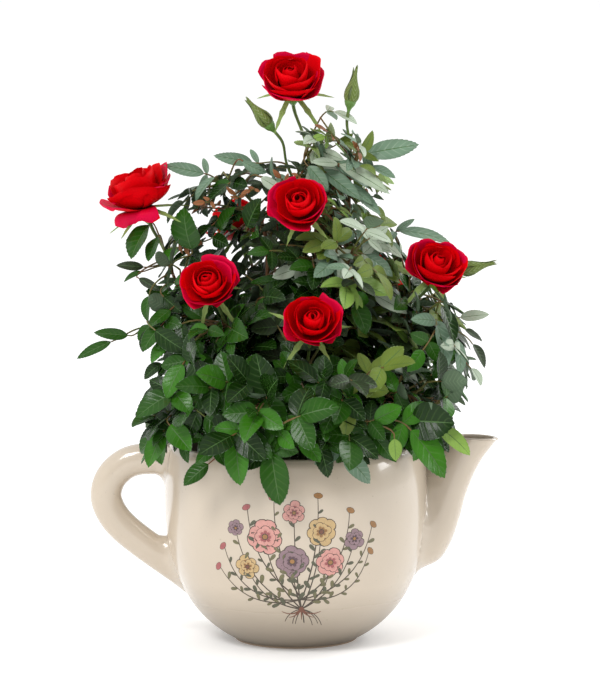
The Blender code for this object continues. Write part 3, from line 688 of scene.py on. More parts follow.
def ink_finish(name, color):
    made = Finish(name, Specular_IOR_Level=0.5, Coat_Weight=0.5, Coat_Roughness=0.1)
    wash = made.noise(160, 4, 0.6)
    made.coat(made.shades(wash, color, 0.8, 1.25), 0.22 + wash * 0.2)
    return made.material


# ---- Planter


def belly_radius(level):
    share = min(1.0, abs(level - BELLY_LEVEL) / BELLY_REACH)
    return BELLY_RADIUS * (1 - share**BELLY_POWER) ** (1 / BELLY_POWER)


BODY_SIDES = 112
BODY_RINGS = 45
FOOT_ROUND = 1.6 * MM
FOOT_TOP = 2.4 * MM
FOOT_WAYS_IN = (11 * MM, 9 * MM, 3.4 * MM)  # from the belly at the foot: the hollow's edge and the ring's two
HOLLOW_LEVEL = 1.5 * MM
INNER_LEVELS = (129, 126, 122, 118, 114, 110)  # of the wall's inside, in millimetres
FLARE_SINK = 1.5 * MM  # how deep the foot of a flare lies under the belly's skin
WEB_BLEND = 2.5 * MM
HANDLE_SIDES = 28
HANDLE_SPANS = ((0.012, 0.17, 48), (0.17, 0.72, 56), (0.72, 0.97, 70))  # shares of its line and their rings
HANDLE_POWER = 2.15
HANDLE_FLARE = 7.5 * MM
HANDLE_WEB = 5 * MM
SPOUT_SIDES = 40
SPOUT_RINGS = 110
SPOUT_FLARE = 8 * MM
SPOUT_WEB = 6.5 * MM
LIP_SHARE = 0.3


def body_profile():
    """(radius, level) from the middle of the foot, up the outside, over the lip and down below the soil."""
    hollow, *ring = (belly_radius(0) - way_in for way_in in FOOT_WAYS_IN)
    outer = [(radius, 0.0) for radius in ring]
    for k in range(5):
        angle = math.radians(-90 + 18 * (k + 1))
        radius = belly_radius(FOOT_ROUND) + FOOT_ROUND * (math.cos(angle) - 1)
        outer.append((radius, FOOT_ROUND * (1 + math.sin(angle))))
    lip = WALL / 2
    top = RIM_LEVEL - lip
    levels = [FOOT_TOP + (top - FOOT_TOP) * (k / (BODY_RINGS - 1)) ** 1.15 for k in range(BODY_RINGS)]
    outer += [(belly_radius(z), z) for z in levels]
    middle = belly_radius(RIM_LEVEL) - lip
    turns = [math.radians(a) for a in range(15, 181, 15)]
    rim = [(middle + lip * math.cos(turn), top + lip * math.sin(turn)) for turn in turns]
    inner = [(belly_radius(z * MM) - WALL, z * MM) for z in INNER_LEVELS]
    under = [(0.0, HOLLOW_LEVEL), (hollow, HOLLOW_LEVEL)]
    return under + outer + rim + inner + [(0.0, INNER_LEVELS[-1] * MM)]


def turned(profile, sides):
    """The skin of a profile turned round the belly's axis, closed at both ends."""
    points = [Vector((0, 0, profile[0][1]))]
    for radius, level in profile[1:-1]:
        points += circle(sides, radius, level)
    points.append(Vector((0, 0, profile[-1][1])))
    faces = []
    rings = len(profile) - 2
    for k in range(sides):
        after = (k + 1) % sides
        faces.append((0, 1 + after, 1 + k))
        for low in range(1, 1 + (rings - 1) * sides, sides):
            high = low + sides
            faces.append((low + k, low + after, high + after, high + k))
        top = 1 + (rings - 1) * sides
        faces.append((top + k, top + after, len(points) - 1))
    return points, faces


def flared(rings, fillet, web):
    """The rings of a tube, widened where they near the belly so that the tube runs into it in a fillet.

    Points that face the belly and are nearer to it than the web sink under its skin, so they leave no gap.
    """
    made = []
    for ring in rings:
        centre = sum(ring, Vector()) / len(ring)
        widened = []
        for point in ring:
            flat = Vector((point.x, point.y, 0))
            slope = (belly_radius(point.z + 0.5 * MM) - belly_radius(point.z - 0.5 * MM)) / MM
            gap = (flat.length - belly_radius(point.z)) / math.hypot(1, slope)
            if gap < fillet:
                near = fillet - max(gap, 0.0)
                normal = (flat.normalized() - UP * slope).normalized()
                out = (point - centre).normalized()
                facing, steep = max(0.0, -out.dot(normal)), 1 - abs(out.dot(normal)) ** 3
                closing = min(1.0, max(0.0, (web - gap) / WEB_BLEND))
                sink = (max(gap, 0.0) + FLARE_SINK) * facing**0.5
                point = point - normal * sink * closing * closing * (3 - 2 * closing)
                out = (out - normal * out.dot(normal)).normalized()
                level = point.z
                point = point + out * (fillet - math.sqrt(fillet**2 - near**2)) * steep
                point.z = min(point.z, max(level, RIM_LEVEL - 3 * MM))
            widened.append(point)
        made.append(widened)
    return made


def skin_of(rings):
    return [p for ring in rings for p in ring], ring_faces(len(rings), len(rings[0]))


def oval_ring(centre, across, along, sides, power=2.0):
    """A ring of points on an oval, squarer with a greater power."""
    ring = []
    for k in range(sides):
        angle = math.tau * k / sides
        c, s = (math.copysign(abs(part) ** (2 / power), part) for part in (math.cos(angle), math.sin(angle)))
        ring.append(centre + across * c + along * s)
    return ring


def handle_skin():
    """The handle from within the belly, round its bow and into the belly again."""
    line = curve_points([Vector((x, 0, z)) * MM for x, z in HANDLE_LINE], 400)
    top, bow, end = (stretch(line, *span) for span in HANDLE_SPANS)
    line = top[:-1] + bow[:-1] + end
    rings = []
    for i, point in enumerate(line):
        across = way_at(line, i).cross(DEPTH) * HANDLE_WIDTH / 2
        rings.append(oval_ring(point, across, DEPTH * HANDLE_DEPTH / 2, HANDLE_SIDES, HANDLE_POWER))
    return skin_of(flared(rings, HANDLE_FLARE, HANDLE_WEB))


def spout_skin():
    """The spout's outside from within the belly to its mouth, over the lip and back down its bore."""
    controls = [
        (Vector((a + c, 0, b + d)) / 2 * MM, Vector((c - a, 0, d - b)) / 2 * MM, Vector((depth, 0, 0)) * MM)
        for a, b, c, d, depth in SPOUT_SECTIONS
    ]
    middles, halves, depths = (curve_points(found, SPOUT_RINGS) for found in zip(*controls))

    def ring(k, thinner=0.0, shift=None):
        half = halves[k].normalized() * (halves[k].length - thinner) if thinner else halves[k]
        return oval_ring(middles[k] + (shift or Vector()), half, DEPTH * (depths[k].x - thinner), SPOUT_SIDES)

    rings = flared([ring(k) for k in range(SPOUT_RINGS)], SPOUT_FLARE, SPOUT_WEB)
    rise = DEPTH.cross(halves[-1]).normalized()
    rise = rise if rise.z > 0 else -rise
    rings[-1] = [p - rise * SPOUT_WALL * LIP_SHARE for p in rings[-1]]
    for angle in range(30, 181, 30):
        share = math.radians(angle)
        lift = SPOUT_WALL * 0.32 * math.sin(share)
        rings.append(ring(-1, SPOUT_WALL / 2 * (1 - math.cos(share)), rise * (lift - SPOUT_WALL * LIP_SHARE)))
    rings += [ring(k, SPOUT_WALL) for k in range(SPOUT_RINGS - 5, SPOUT_RINGS // 2, -5)]
    return skin_of(rings)


# The posy on its flat sheet, in millimetres: the knot of its stems, its flowers as (x, y, reach, petals, ink,
# shade, bow of the stem) and its buds as (x, y, bow).
POSY_KNOT = (3.0, -27.0)
POSY_HEADS = (
    (-17, 16, 9.4, 8, "blush", "rose", 4),
    (14, 19, 8.0, 7, "straw", "ochre", -2),
    (-2, 2, 8.6, 8, "mauve", "plum", 1),
    (19, 1, 8.6, 7, "blush", "rose", -4),
    (-27, -2, 6.6, 6, "straw", "ochre", 6),
    (33, 14, 6.0, 6, "mauve", "plum", -6),
    (-1, 30, 6.2, 6, "blush", "rose", 1),
    (-34, 20, 4.6, 6, "mauve", "plum", 8),
)
POSY_BUDS = (
    (-41, 8, 11), (42, 5, -10), (-12, 37, 4), (12, 38, -3),
    (30, 29, -7), (-27, 31, 7), (44, 20, -9), (-44, -4, 9),
)
POSY_PETAL = 0.34  # a petal's width as a share of its length
POSY_SIZE = 1.2
POSY_LEVEL = 65.0  # of the sheet's middle, in millimetres above the pot's foot


def posy_parts():
    """A posy of meadow flowers, as flat shapes: each is (outline, ink, layer, whether it is a strip)."""
    dice = random.Random("posy")
    parts = []

    def drop(x, y, angle, length, width, grown, point):
        """A leaf or petal outline: narrow where it starts and round or pointed where it ends."""
        shape = []
        c, s = math.cos(angle), math.sin(angle)
        for step in range(14):
            t = math.tau * step / 14
            u = length * (0.54 - 0.5 * math.cos(t) * grown)
            v = length * width * math.sin(t) * (1 - point * math.cos(t)) * grown**2
            shape.append((x + u * c - v * s, y + u * s + v * c))
        return shape

    def disc(x, y, radius):
        turns = [math.tau * k / 10 for k in range(10)]
        return [(x + radius * math.cos(turn), y + radius * math.sin(turn)) for turn in turns]

    def outlined(x, y, angle, length, width, ink, layer, rim=1.09, point=0.3):
        """A drop in an ink, over a somewhat larger one in the line's ink."""
        parts.append((drop(x, y, angle, length, width, rim, point), "line", layer, False))
        parts.append((drop(x, y, angle, length, width, 1.0, point), ink, layer + 1, False))

    def stroke(line, start, end, ink="line", layer=0):
        """A strip along a line, from one half width to another."""
        left, right = [], []
        for i, (x, y) in enumerate(line):
            (ax, ay), (bx, by) = line[max(i - 1, 0)], line[min(i + 1, len(line) - 1)]
            long = math.hypot(bx - ax, by - ay) or 1.0
            half = start + (end - start) * i / (len(line) - 1)
            left.append((x - (by - ay) / long * half, y + (bx - ax) / long * half))
            right.append((x + (by - ay) / long * half, y - (bx - ax) / long * half))
        parts.append((left + right[::-1], ink, layer, True))

    def arc(x0, y0, x1, y1, bow):
        """A line from one point to another that bows out by so much in its middle."""
        long = math.hypot(x1 - x0, y1 - y0)
        line = []
        for k in range(15):
            t = k / 14
            lift = bow * 4 * t * (1 - t) / long
            line.append((x0 + (x1 - x0) * t - (y1 - y0) * lift, y0 + (y1 - y0) * t + (x1 - x0) * lift))
        return line

    def ray(x, y, angle, start, end, half, layer=2):
        line = [(x + d * math.cos(angle), y + d * math.sin(angle)) for d in (start, (start + end) / 2, end)]
        stroke(line, half, 0.03, layer=layer)

    def flower(x, y, reach, petals, ink, shade, heart, turn):
        """Two rounds of petals, each with a shade and three rays, about a heart."""
        for layer, share in ((0, 1.0), (3, 0.62)):
            for k in range(petals):
                angle = turn + math.tau * (k + layer / 6) / petals + dice.uniform(-0.1, 0.1)
                long = reach * share * dice.uniform(0.86, 1.08)
                outlined(x, y, angle, long, POSY_PETAL, ink, layer, point=0.5)
                shaded = drop(x, y, angle, long * 0.6, POSY_PETAL * 0.8, 1.0, 0.5)
                parts.append((shaded, shade, layer + 2, False))
                for lean in (-0.2, 0.0, 0.2):
                    ray(x, y, angle + lean, long * 0.3, long * dice.uniform(0.6, 0.85), 0.07, layer + 2)
        parts.append((disc(x, y, reach * 0.2), "line", 6, False))
        parts.append((disc(x, y, reach * 0.15), heart, 7, False))
        for k in range(9):
            ray(x, y, math.tau * k / 9, reach * 0.12, reach * 0.3, 0.05, 7)

    def sprig(x0, y0, x1, y1, bow, leaves, ink, size=4.4):
        """A stem with so many leaves, which have their veins."""
        line = arc(x0, y0, x1, y1, bow)
        stroke(line, 0.42, 0.2)
        for k in range(leaves):
            at = 3 + int(k * 9 / max(leaves - 1, 1))
            (x, y), (ex, ey) = line[at], line[at + 1]
            angle = math.atan2(ey - y, ex - x) + (1 if k % 2 else -1) * dice.uniform(0.6, 1.0)
            long = size * dice.uniform(0.8, 1.2)
            outlined(x, y, angle, long, 0.2, ink, 0)
            ray(x, y, angle, 0.3, long * 0.9, 0.08)
            for d in (0.35, 0.55, 0.75):
                for lean in (-0.28, 0.28):
                    ray(x, y, angle + lean * (1 - d * 0.5), long * d * 0.8, long * d, 0.05)

    left, low = POSY_KNOT
    for x, y, _, _, _, _, bow in POSY_HEADS:
        sprig(left, low, x, y, bow, 6, dice.choice(("olive", "moss")))
        stroke(arc(left, low, left - (x - left) * 0.3, low - 8 - dice.uniform(0, 3), bow * 0.3), 0.30, 0.2)
    for x, y, bow in POSY_BUDS:
        sprig(left, low + 6, x, y, bow, 7, dice.choice(("olive", "moss")), 3.8)
        for k in range(4):
            angle = math.atan2(y - low, x - left) + (k - 1.5) * 0.5
            outlined(x, y, angle, 3.0, 0.3, "rose" if x < 0 else "ochre", 1, 1.12)
    for x, y, reach, petals, ink, shade, _ in POSY_HEADS:
        flower(x, y, reach, petals, ink, shade, "ochre" if ink != "straw" else "rust", dice.uniform(0, 1))
    for k in range(5):
        angle = math.radians(-90 + (k - 2) * 38)
        tail = arc(left, low, left + 11 * math.cos(angle), low + 7 * math.sin(angle), 2.2 - 1.1 * k)
        stroke(tail, 0.55, 0.15, "rust", 3)
    parts.append((disc(left, low, 1.5), "rust", 4, False))
    return parts


def wrap_on_belly(x, y, lift):
    """A point of the flat sheet, laid on the belly: x runs round it and y up it, both in millimetres."""
    level = (POSY_LEVEL + y * POSY_SIZE * 0.97) * MM
    radius = belly_radius(level)
    angle = x * POSY_SIZE * MM / max(radius, 60 * MM)
    reach = radius + lift
    return Vector((reach * math.sin(angle), -reach * math.cos(angle), level))


INKS = {
    "line": (0.045, 0.028, 0.014),
    "blush": (0.58, 0.27, 0.23),
    "rose": (0.36, 0.09, 0.09),
    "mauve": (0.24, 0.15, 0.17),
    "plum": (0.10, 0.045, 0.065),
    "straw": (0.50, 0.34, 0.15),
    "ochre": (0.30, 0.14, 0.035),
    "rust": (0.15, 0.045, 0.02),
    "olive": (0.14, 0.13, 0.05),
    "moss": (0.075, 0.08, 0.04),
}


def printed_posy():
    """The posy as thin shapes on the belly, its layers one above the other and every face turned out."""
    names = list(INKS)
    points, faces, slots = [], [], []
    for shape, ink, layer, strip in posy_parts():
        lift = (0.05 + 0.02 * layer) * MM
        start, n = len(points), len(shape)
        points += [wrap_on_belly(x, y, lift) for x, y in shape]
        if strip:
            end = start + n - 1
            faces += [(start + k, end - k, end - k - 1, start + k + 1) for k in range(n // 2 - 1)]
        else:
            points.append(wrap_on_belly(sum(p[0] for p in shape) / n, sum(p[1] for p in shape) / n, lift))
            faces += [(start + n, start + k, start + (k + 1) % n) for k in range(n)]
        slots += [names.index(ink)] * (len(faces) - len(slots))
    out = []
    for face in faces:
        a, b, c = (points[i] for i in face[:3])
        out.append(face if (b - a).cross(c - a).dot(Vector((a.x, a.y, 0))) > 0 else tuple(reversed(face)))
    inks = [ink_finish("ink_" + name, INKS[name]) for name in names]
    return mesh_piece("printed_posy", (points, out, slots), inks, sharp=0)


# ---- Shoots


def spread_feet():
    """Where each shoot leaves the soil: on its tip's side of the clump, pushed clear of the others."""
    feet = {}
    for shoot in SHOOTS:
        outward = Vector((shoot.tip.x, shoot.tip.y, 0))
        reach = min(1.0, outward.length / BELLY_RADIUS)
        radius = FOOT_RADIUS_NEAR + (FOOT_RADIUS_FAR - FOOT_RADIUS_NEAR) * reach
        feet[shoot.name] = outward.normalized() * radius
    for _ in range(200):
        for name, foot in feet.items():
            for other, place in feet.items():
                apart = foot - place
                if other != name and apart.length < FOOT_SPACING:
                    foot += apart.normalized() * (FOOT_SPACING - apart.length) / 2
    return feet


def shoot_path(shoot, foot):
    """The line of a shoot from the soil, which it leaves upright, to its tip."""
    start = foot + UP * (SOIL_LEVEL + GAP)
    span = (shoot.tip - start).length
    first = start + UP * span * (0.62 if shoot.way.z < 0 else 0.42) + foot.normalized() * span * 0.05
    return bezier(start, first, shoot.tip - shoot.way * span * 0.36, shoot.tip, PATH_STEPS)


def stalk_line(shoot, start):
    """From the tip of the stem to the foot of the hip or bud."""
    back = (HIP_FOOT + ROSE_SEAT) * shoot.size if shoot.carries == "rose" else HIP_FOOT
    foot = shoot.place - shoot.facing * back
    span = (foot - start).length
    line = bezier(start, start + shoot.way * span * 0.4, foot - shoot.facing * span * 0.35, foot, 10)
    return line + [shoot.place if shoot.carries == "bud" else foot + shoot.facing * HIP_SINK]


LINES = {shoot.name: shoot_path(shoot, foot) for shoot, foot in zip(SHOOTS, spread_feet().values())}
STEMS = {name: stretch(line, FORK_SHARE, 1, 24) for name, line in LINES.items()}

CANE_SIDES = 9
CANE_STEP = 2.4 * MM  # between rings
CANE_SINK = 1.2 * MM  # into the soil
STALK_SIDES = 8
STALK_RINGS = 26
STALK_SINK = 2 * MM  # into the stem's tip
HIP_SINK = 2.5 * MM  # of the stalk's end into the hip


def shoot_skins(dice):
    """The skins of every shoot: old wood, green length and flower stalk, with a swelling at each joint."""
    skins = []
    for shoot in SHOOTS:
        line = LINES[shoot.name]
        count = int(line_length(line) / CANE_STEP)
        points = stretch(line, 0, 1, count)
        points[0] = points[0] - UP * CANE_SINK
        radii = []
        for k in range(count):
            share = k / (count - 1)
            if share < FORK_SHARE:
                radius = CANE_RADIUS + (STEM_RADIUS - CANE_RADIUS) * share / FORK_SHARE
            else:
                radius = STEM_RADIUS + (TIP_RADIUS - STEM_RADIUS) * (share - FORK_SHARE) / (1 - FORK_SHARE)
            joint = abs((share * line_length(line) / LEAF_SPACING) % 1 - 0.5) * 2
            radii.append(radius * (0.93 + 0.2 * joint**6 + 0.35 * max(0, 1 - k / 3)))
        skin, faces = tube(points, radii, CANE_SIDES, 0.07, dice)
        old = int(FORK_SHARE * 0.8 * count) * CANE_SIDES
        skins.append((skin, faces, [0 if min(f) < old else 1 for f in faces]))
        if shoot.carries:
            start = line[-1] - (line[-1] - line[-2]).normalized() * STALK_SINK
            run = curve_points(stalk_line(shoot, start), STALK_RINGS)
            thick = STALK_RADIUS * (0.85 if shoot.carries == "bud" else 1.0)
            radii = [thick * (0.8 + 0.25 * (k / (STALK_RINGS - 1)) ** 3) for k in range(STALK_RINGS)]
            skin, faces = tube(run, radii, STALK_SIDES, 0.04, dice)
            skins.append((skin, faces, [2] * len(faces)))
    return skins


# ---- Leaves

ROWS = (0.0, 0.04, 0.10, 0.17, 0.25, 0.34, 0.43, 0.52, 0.61, 0.70, 0.79, 0.87, 0.94, 1.0)
WIDTHS = (0.05, 0.30, 0.57, 0.78, 0.92, 0.99, 1.0, 0.97, 0.89, 0.77, 0.60, 0.41, 0.19, 0.0)
RIB = 0.04
UPPER = (-1.0, -0.55, -RIB, RIB, 0.55, 1.0)
LOWER = (-1.0, 0.0, 1.0)
TOOTH = 0.032
SKIN = 0.2 * MM  # half a blade's thickness
VEIN_RELIEF = 0.012  # as a share of the blade's width
MARGIN_TURN = 9  # how far the margin's wave runs from foot to tip, in radians
RIB_HALF = 0.06  # of the midrib below the blade, as a share of half the blade's width
RIB_RELIEF = 0.25 * MM


def leaflet_form():
    """The flat skin of a leaflet of length 1 and half width 1. Its points are (along, across, side).

    Side is +1 on the upper face, -1 on the lower one and 0 on the margin, which both share. The slots are 0
    for the upper face, 1 for its midrib and 2 for the lower face.
    """
    points, index, faces, slots = [], {}, [], []

    def corner(r, place, side):
        """The number of the point there, which is made when it is first asked for."""
        edge = abs(place) == 1.0 or r in (0, len(ROWS) - 1)
        key = (r, 0 if r == len(ROWS) - 1 else place, 0 if edge else side)
        if key not in index:
            index[key] = len(points)
            points.append((ROWS[r], place * WIDTHS[r], 0 if edge else side))
        return index[key]

    for side, strips in ((1, UPPER), (-1, LOWER)):
        for r in range(len(ROWS) - 1):
            for left, right in zip(strips, strips[1:]):
                places = ((r, left), (r + 1, left), (r + 1, right), (r, right))
                face = list(dict.fromkeys(corner(row, place, side) for row, place in places))
                faces.append(face[::-1] if side > 0 else face)
                slots.append(2 if side < 0 else 1 if left == -RIB else 0)
    for r in range(1, len(ROWS) - 2):
        for out in (-1.0, 1.0):
            a, b = corner(r, out, 1), corner(r + 1, out, 1)
            along = ROWS[r] + (ROWS[r + 1] - ROWS[r]) * 0.95
            width = WIDTHS[r] + (WIDTHS[r + 1] - WIDTHS[r]) * 0.7 + TOOTH
            tip = len(points)
            points.append((along, out * width, 0))
            faces += [[a, b, tip], [b, a, tip]] if out > 0 else [[b, a, tip], [a, b, tip]]
            slots += [0, 2]
    places = []
    for face in faces:
        for v in face:
            along, across, _ = points[v]
            share = across / max(0.05, float(np.interp(along, ROWS, WIDTHS)))
            places.append((0.5 + 0.5 * max(-1.0, min(1.0, share)), along))
    return np.array(points), faces, np.array(slots), np.array(places)


FORM = leaflet_form()

# The least and most that a leaflet is folded, drooped and twisted, and of its margin's wave and its phase
LEAFLET_MOODS = ((0.12, 0.42), (-0.1, 0.75), (-0.35, 0.35), (0, 0.035), (0, 6))


def spray_piece(name, leaflets, finishes):
    """One mesh of many leaflets: each is (frame, length, width, fold, droop, twist, wave, phase, tone)."""
    points, faces, slots, places = FORM
    n, v = len(leaflets), len(points)
    frames, *columns = zip(*leaflets)
    length, width, fold, droop, twist, wave, phase, tones = (np.array(column)[:, None] for column in columns)
    along, across, side = (points[None, :, k] for k in range(3))
    y = across * width / 2
    # The blade folds up along its midrib, its veins corrugate it, its tip falls and its margin waves.
    z = np.abs(y) * fold
    z += VEIN_RELIEF * width * np.sin(along * SIDE_VEINS * math.tau) * np.abs(across) * (1 - np.abs(across))
    z += wave * width * np.sin(along * MARGIN_TURN + phase) * np.abs(across) ** 2
    z += side * SKIN - (np.abs(across) < RIB_HALF) * (side < 0) * RIB_RELIEF
    turn = twist * (along - 0.2) * np.ones_like(y)
    y, z = y * np.cos(turn) - z * np.sin(turn), y * np.sin(turn) + z * np.cos(turn)
    # Bending along the length: the blade follows an arc of the droop's angle.
    bend = np.where(np.abs(droop) < 1e-3, 1e-3, droop)
    angle = bend * along
    radius = length / bend
    bx = radius * np.sin(angle) + z * np.sin(angle)
    bz = -radius * (1 - np.cos(angle)) + z * np.cos(angle)
    local = np.stack([bx, np.broadcast_to(y, bx.shape), bz, np.ones_like(bx)], -1)
    world = np.einsum("nij,nvj->nvi", np.array(frames), local)[..., :3].reshape(-1, 3)
    starts = np.arange(n)[:, None] * v
    sizes_of = np.array([len(f) for f in faces])
    flat = np.concatenate([np.array(f) for f in faces])
    loops = (flat[None] + starts).ravel()
    rib, under = len(TONES), len(TONES) + 1
    pale = np.isin(tones, [TONES.index("light"), TONES.index("olive")])
    by_face = np.where(slots[None] == 0, tones, np.where(slots[None] == 1, rib, under + pale)).ravel()
    mesh = bpy.data.meshes.new(name)
    mesh.vertices.add(len(world))
    mesh.vertices.foreach_set("co", world.astype(np.float32).ravel())
    mesh.loops.add(len(loops))
    mesh.loops.foreach_set("vertex_index", loops.astype(np.int32))
    totals = np.tile(sizes_of, n)
    mesh.polygons.add(len(totals))
    mesh.polygons.foreach_set("loop_start", np.concatenate([[0], np.cumsum(totals)[:-1]]).astype(np.int32))
    mesh.polygons.foreach_set("material_index", by_face.astype(np.int32))
    mark_places(mesh, np.tile(places, (n, 1)))
    mesh.update(calc_edges=True)
    mesh.validate()
    return dressed(mesh, finishes, 75)


PAIR_PLACE = 0.80  # of the outer pair of leaflets, as a share of the stalk
PAIR_APART = 0.38
PAIR_SHRINK = 0.16


class Leaf:
    """A compound leaf: its curved stalk and its leaflets, each as (foot, way, face, length, width)."""

    def __init__(self, stalk, face, tip_length, width, pairs, side_size, tone, dice, spread=72):
        self.stalk, self.tone = stalk, tone
        self.face = face.normalized()
        self.leaflets = []
        end, before = stalk[-1], stalk[-2]
        way = (end - before).normalized()
        self.leaflets.append((end, way, self.face, tip_length, tip_length * width))
        count = len(stalk) - 1
        for k in range(pairs):
            at = (PAIR_PLACE - PAIR_APART * k) * count
            i = min(int(at), count - 1)
            foot = stalk[i].lerp(stalk[i + 1], at - i)
            run = (stalk[i + 1] - stalk[i]).normalized()
            small = side_size * (1 - PAIR_SHRINK * k)
            for side in (1, -1):
                lean = math.radians(spread + dice.uniform(-9, 9))
                across = self.face.cross(run).normalized() * side
                out = run * math.cos(lean) + across * math.sin(lean) - self.face * dice.uniform(0, 0.18)
                tilt = (self.face + across * dice.uniform(-0.15, 0.35)).normalized()
                long = tip_length * small * dice.uniform(0.9, 1.05)
                self.leaflets.append((foot, out.normalized(), tilt, long, long * min(width * 1.03, 0.8)))

    def coarse(self):
        """The leaf in a few plain faces, for asking what it would touch."""
        points, faces = [], []
        for foot, way, face, long, wide in self.leaflets:
            across = face.cross(way).normalized() * wide / 2
            start = len(points)
            waist = foot + way * long * 0.42
            points += [foot + way * long * 0.06, waist - across, foot + way * long * 0.97, waist + across]
            faces += [(start, start + 1, start + 2), (start, start + 2, start + 3)]
        return points, faces


def curved_stalk(root, way, reach, sag):
    """A leaf stalk that starts along its way and falls a little."""
    end = root + way * reach - UP * reach * sag
    fallen = (way - UP * sag * 1.4).normalized()
    return bezier(root, root + way * reach * 0.45, end - fallen * reach * 0.3, end, 6)


def leaf_tries(shoot, line):
    """Where leaves may stand along a stem: for each, the tries of (root, way, face, size)."""
    dice = random.Random(shoot.name)
    fall = 1.1 if shoot.way.z < -0.4 else 0.35
    count = int(line_length(line) / (LEAF_SPACING * shoot.leaf))
    turn = dice.uniform(0, math.tau)
    if not shoot.carries:
        outward = Vector((line[-1].x, line[-1].y, 0)) / BELLY_RADIUS
        yield [(line[-1], (shoot.way - UP * 0.15).normalized(), UP * 0.75 + outward * 0.9, shoot.leaf * 1.1)]
    for k in reversed(range(count + 1)):
        share = (k + 0.25) / (count + 0.5)
        root, beyond = stretch(line, share, min(share + 0.02, 1.0), 2)
        axis = (beyond - root).normalized()
        outward = Vector((root.x, root.y, 0)) / BELLY_RADIUS
        tries = []
        for _ in range(LEAF_TRIES):
            turn += GOLDEN_TURN + dice.uniform(-0.3, 0.3)
            side = sideways(axis, turn)
            lean = math.radians(dice.uniform(42, 74))
            way = axis * math.cos(lean) + side * math.sin(lean) + outward * 0.35 - UP * dice.uniform(0, fall)
            aside = outward.normalized() * max(0.0, (root.z / MM - 200) / 90)
            face = UP * 0.75 + outward * 0.9 + aside + Vector([dice.uniform(-0.35, 0.35) for _ in range(3)])
            tries.append((root, way.normalized(), face, shoot.leaf * dice.uniform(0.85, 1.1)))
        yield tries


def tone_at(place, dice):
    """A leaf's tone, as painted light and shade: bright below and outside where light falls, sage with
    painted glare high up on the right, dark as painted shade within the crown.
    """
    outer = Vector((place.x, place.y, 0)).length / (100 * MM)
    draw = dice.random()
    if place.z > HIGH_LEAVES:
        if draw < (0.30 if place.x < 0 else 0.12):
            return "ruddy"
        if draw < 0.36:
            return "olive" if place.x > 0 else "mid"
        right = place.x / (50 * MM) + (place.z - 0.28) / 0.05
        if dice.uniform(-0.9, 0.9) < right:
            picked = dice.choice(("sage", "mint", "sage", "light", "sage", "mint"))
            return "dusky" if picked == "light" and place.x < 0.01 else picked
        return dice.choice(("dusky", "deep", "deep", "mid"))
    if outer < 0.62 and draw < 0.85 and place.x < 0.03:
        return dice.choice(("deep", "deep", "dusky"))
    if draw < 0.03:
        return "olive"
    if place.x > 0.03 and place.z > 0.18 and draw < 0.45:
        outermost = ("sage", "light", "olive", "mid", "sage")
        return dice.choice(outermost if place.x > 0.06 else ("light", "olive", "mid"))
    if place.z < 0.18:
        return dice.choice(("mid", "bright", "deep", "mid", "deep", "deep"))
    last = ("bright", "deep", "mid") if place.x < -0.04 else ("deep", "deep", "dusky")
    return dice.choice(("mid", *last))


# The crown's outline from the front, but for its edge leaves: (height, left edge, right edge) in millimetres
OUTLINE = (
    (120, -98, 96), (141, -103, 102), (154, -103, 106), (168, -97, 112), (181, -90, 122), (195, -94, 126),
    (208, -98, 122), (222, -96, 112), (235, -92, 98), (249, -98, 82), (262, -104, 72), (276, -98, 66),
    (289, -88, 62), (302, -76, 64), (316, -44, 66), (329, -8, 66), (343, 8, 44), (352, 20, 40),
)
CROWN_TOP = 350
SIGHT_SLOPE = 0.14  # of the line along which the outline is seen, from a little above
FLOWER_ROOM = {"rose": 21 * MM, "bud": 9 * MM}  # what the leaves keep clear of
BOX_ROOM = 2 * MM  # how far a leaflet's tip may pass the model's box
POT_ROOM = 3.5 * MM  # between a leaflet and the pot's side
RIM_ROOM = 3 * MM  # and above its rim
LOWEST_TIP = 118 * MM  # how low the leaves in front may hang
LEAF_REACH = 75 * MM  # leaves further apart than this can't touch


def in_outline(point):
    level = point.z / MM + point.y / MM * SIGHT_SLOPE
    levels, *edges = zip(*OUTLINE)
    left, right = (np.interp(level, levels, edge) for edge in edges)
    return left < point.x / MM < right and level < CROWN_TOP


class Crown:
    """The leaves that stand so far, and what a new one must keep clear of."""

    def __init__(self):
        self.leaves, self.trees = [], []
        flowers = [shoot for shoot in SHOOTS if shoot.carries]
        self.blooms = [(shoot.place, FLOWER_ROOM[shoot.carries] * shoot.size) for shoot in flowers]

    def leaflet_clear(self, foot, way, long):
        """Whether the leaflet stays within the crown and out of the planter and the blooms."""
        tip, heart = foot + way * long, foot + way * long * 0.6
        box = zip(FRAME_BOX[0], tip, FRAME_BOX[1])
        if not all(low - BOX_ROOM < at < high + BOX_ROOM for low, at, high in box) or not in_outline(heart):
            return False
        if tip.z + tip.y * SIGHT_SLOPE < LOWEST_TIP and tip.y < 0:
            return False
        for p in (foot + way * long * 0.5, tip):
            room = belly_radius(max(p.z, 0)) + POT_ROOM
            if p.z < RIM_LEVEL + RIM_ROOM and Vector((p.x, p.y, 0)).length < room:
                return False
        return not any((heart - place).length < room for place, room in self.blooms)

    def takes(self, leaf, anyhow=False):
        """Adds the leaf if it is clear of everything, or anyhow, and says whether it did."""
        clear = (self.leaflet_clear(foot, way, long) for foot, way, _, long, _ in leaf.leaflets)
        if not (anyhow or all(clear)):
            return False
        tree = BVHTree.FromPolygons(*leaf.coarse())
        middle = leaf.stalk[-1]
        for other, there in [] if anyhow else self.trees:
            if (other - middle).length < LEAF_REACH and there.overlap(tree):
                return False
        self.leaves.append(leaf)
        self.trees.append((middle, tree))
        return True


def in_own_space(name, place):
    apart = {other: min((p - place).length for p in line) for other, line in STEMS.items()}
    return apart[name] <= OWN_SPACE * min(apart.values())


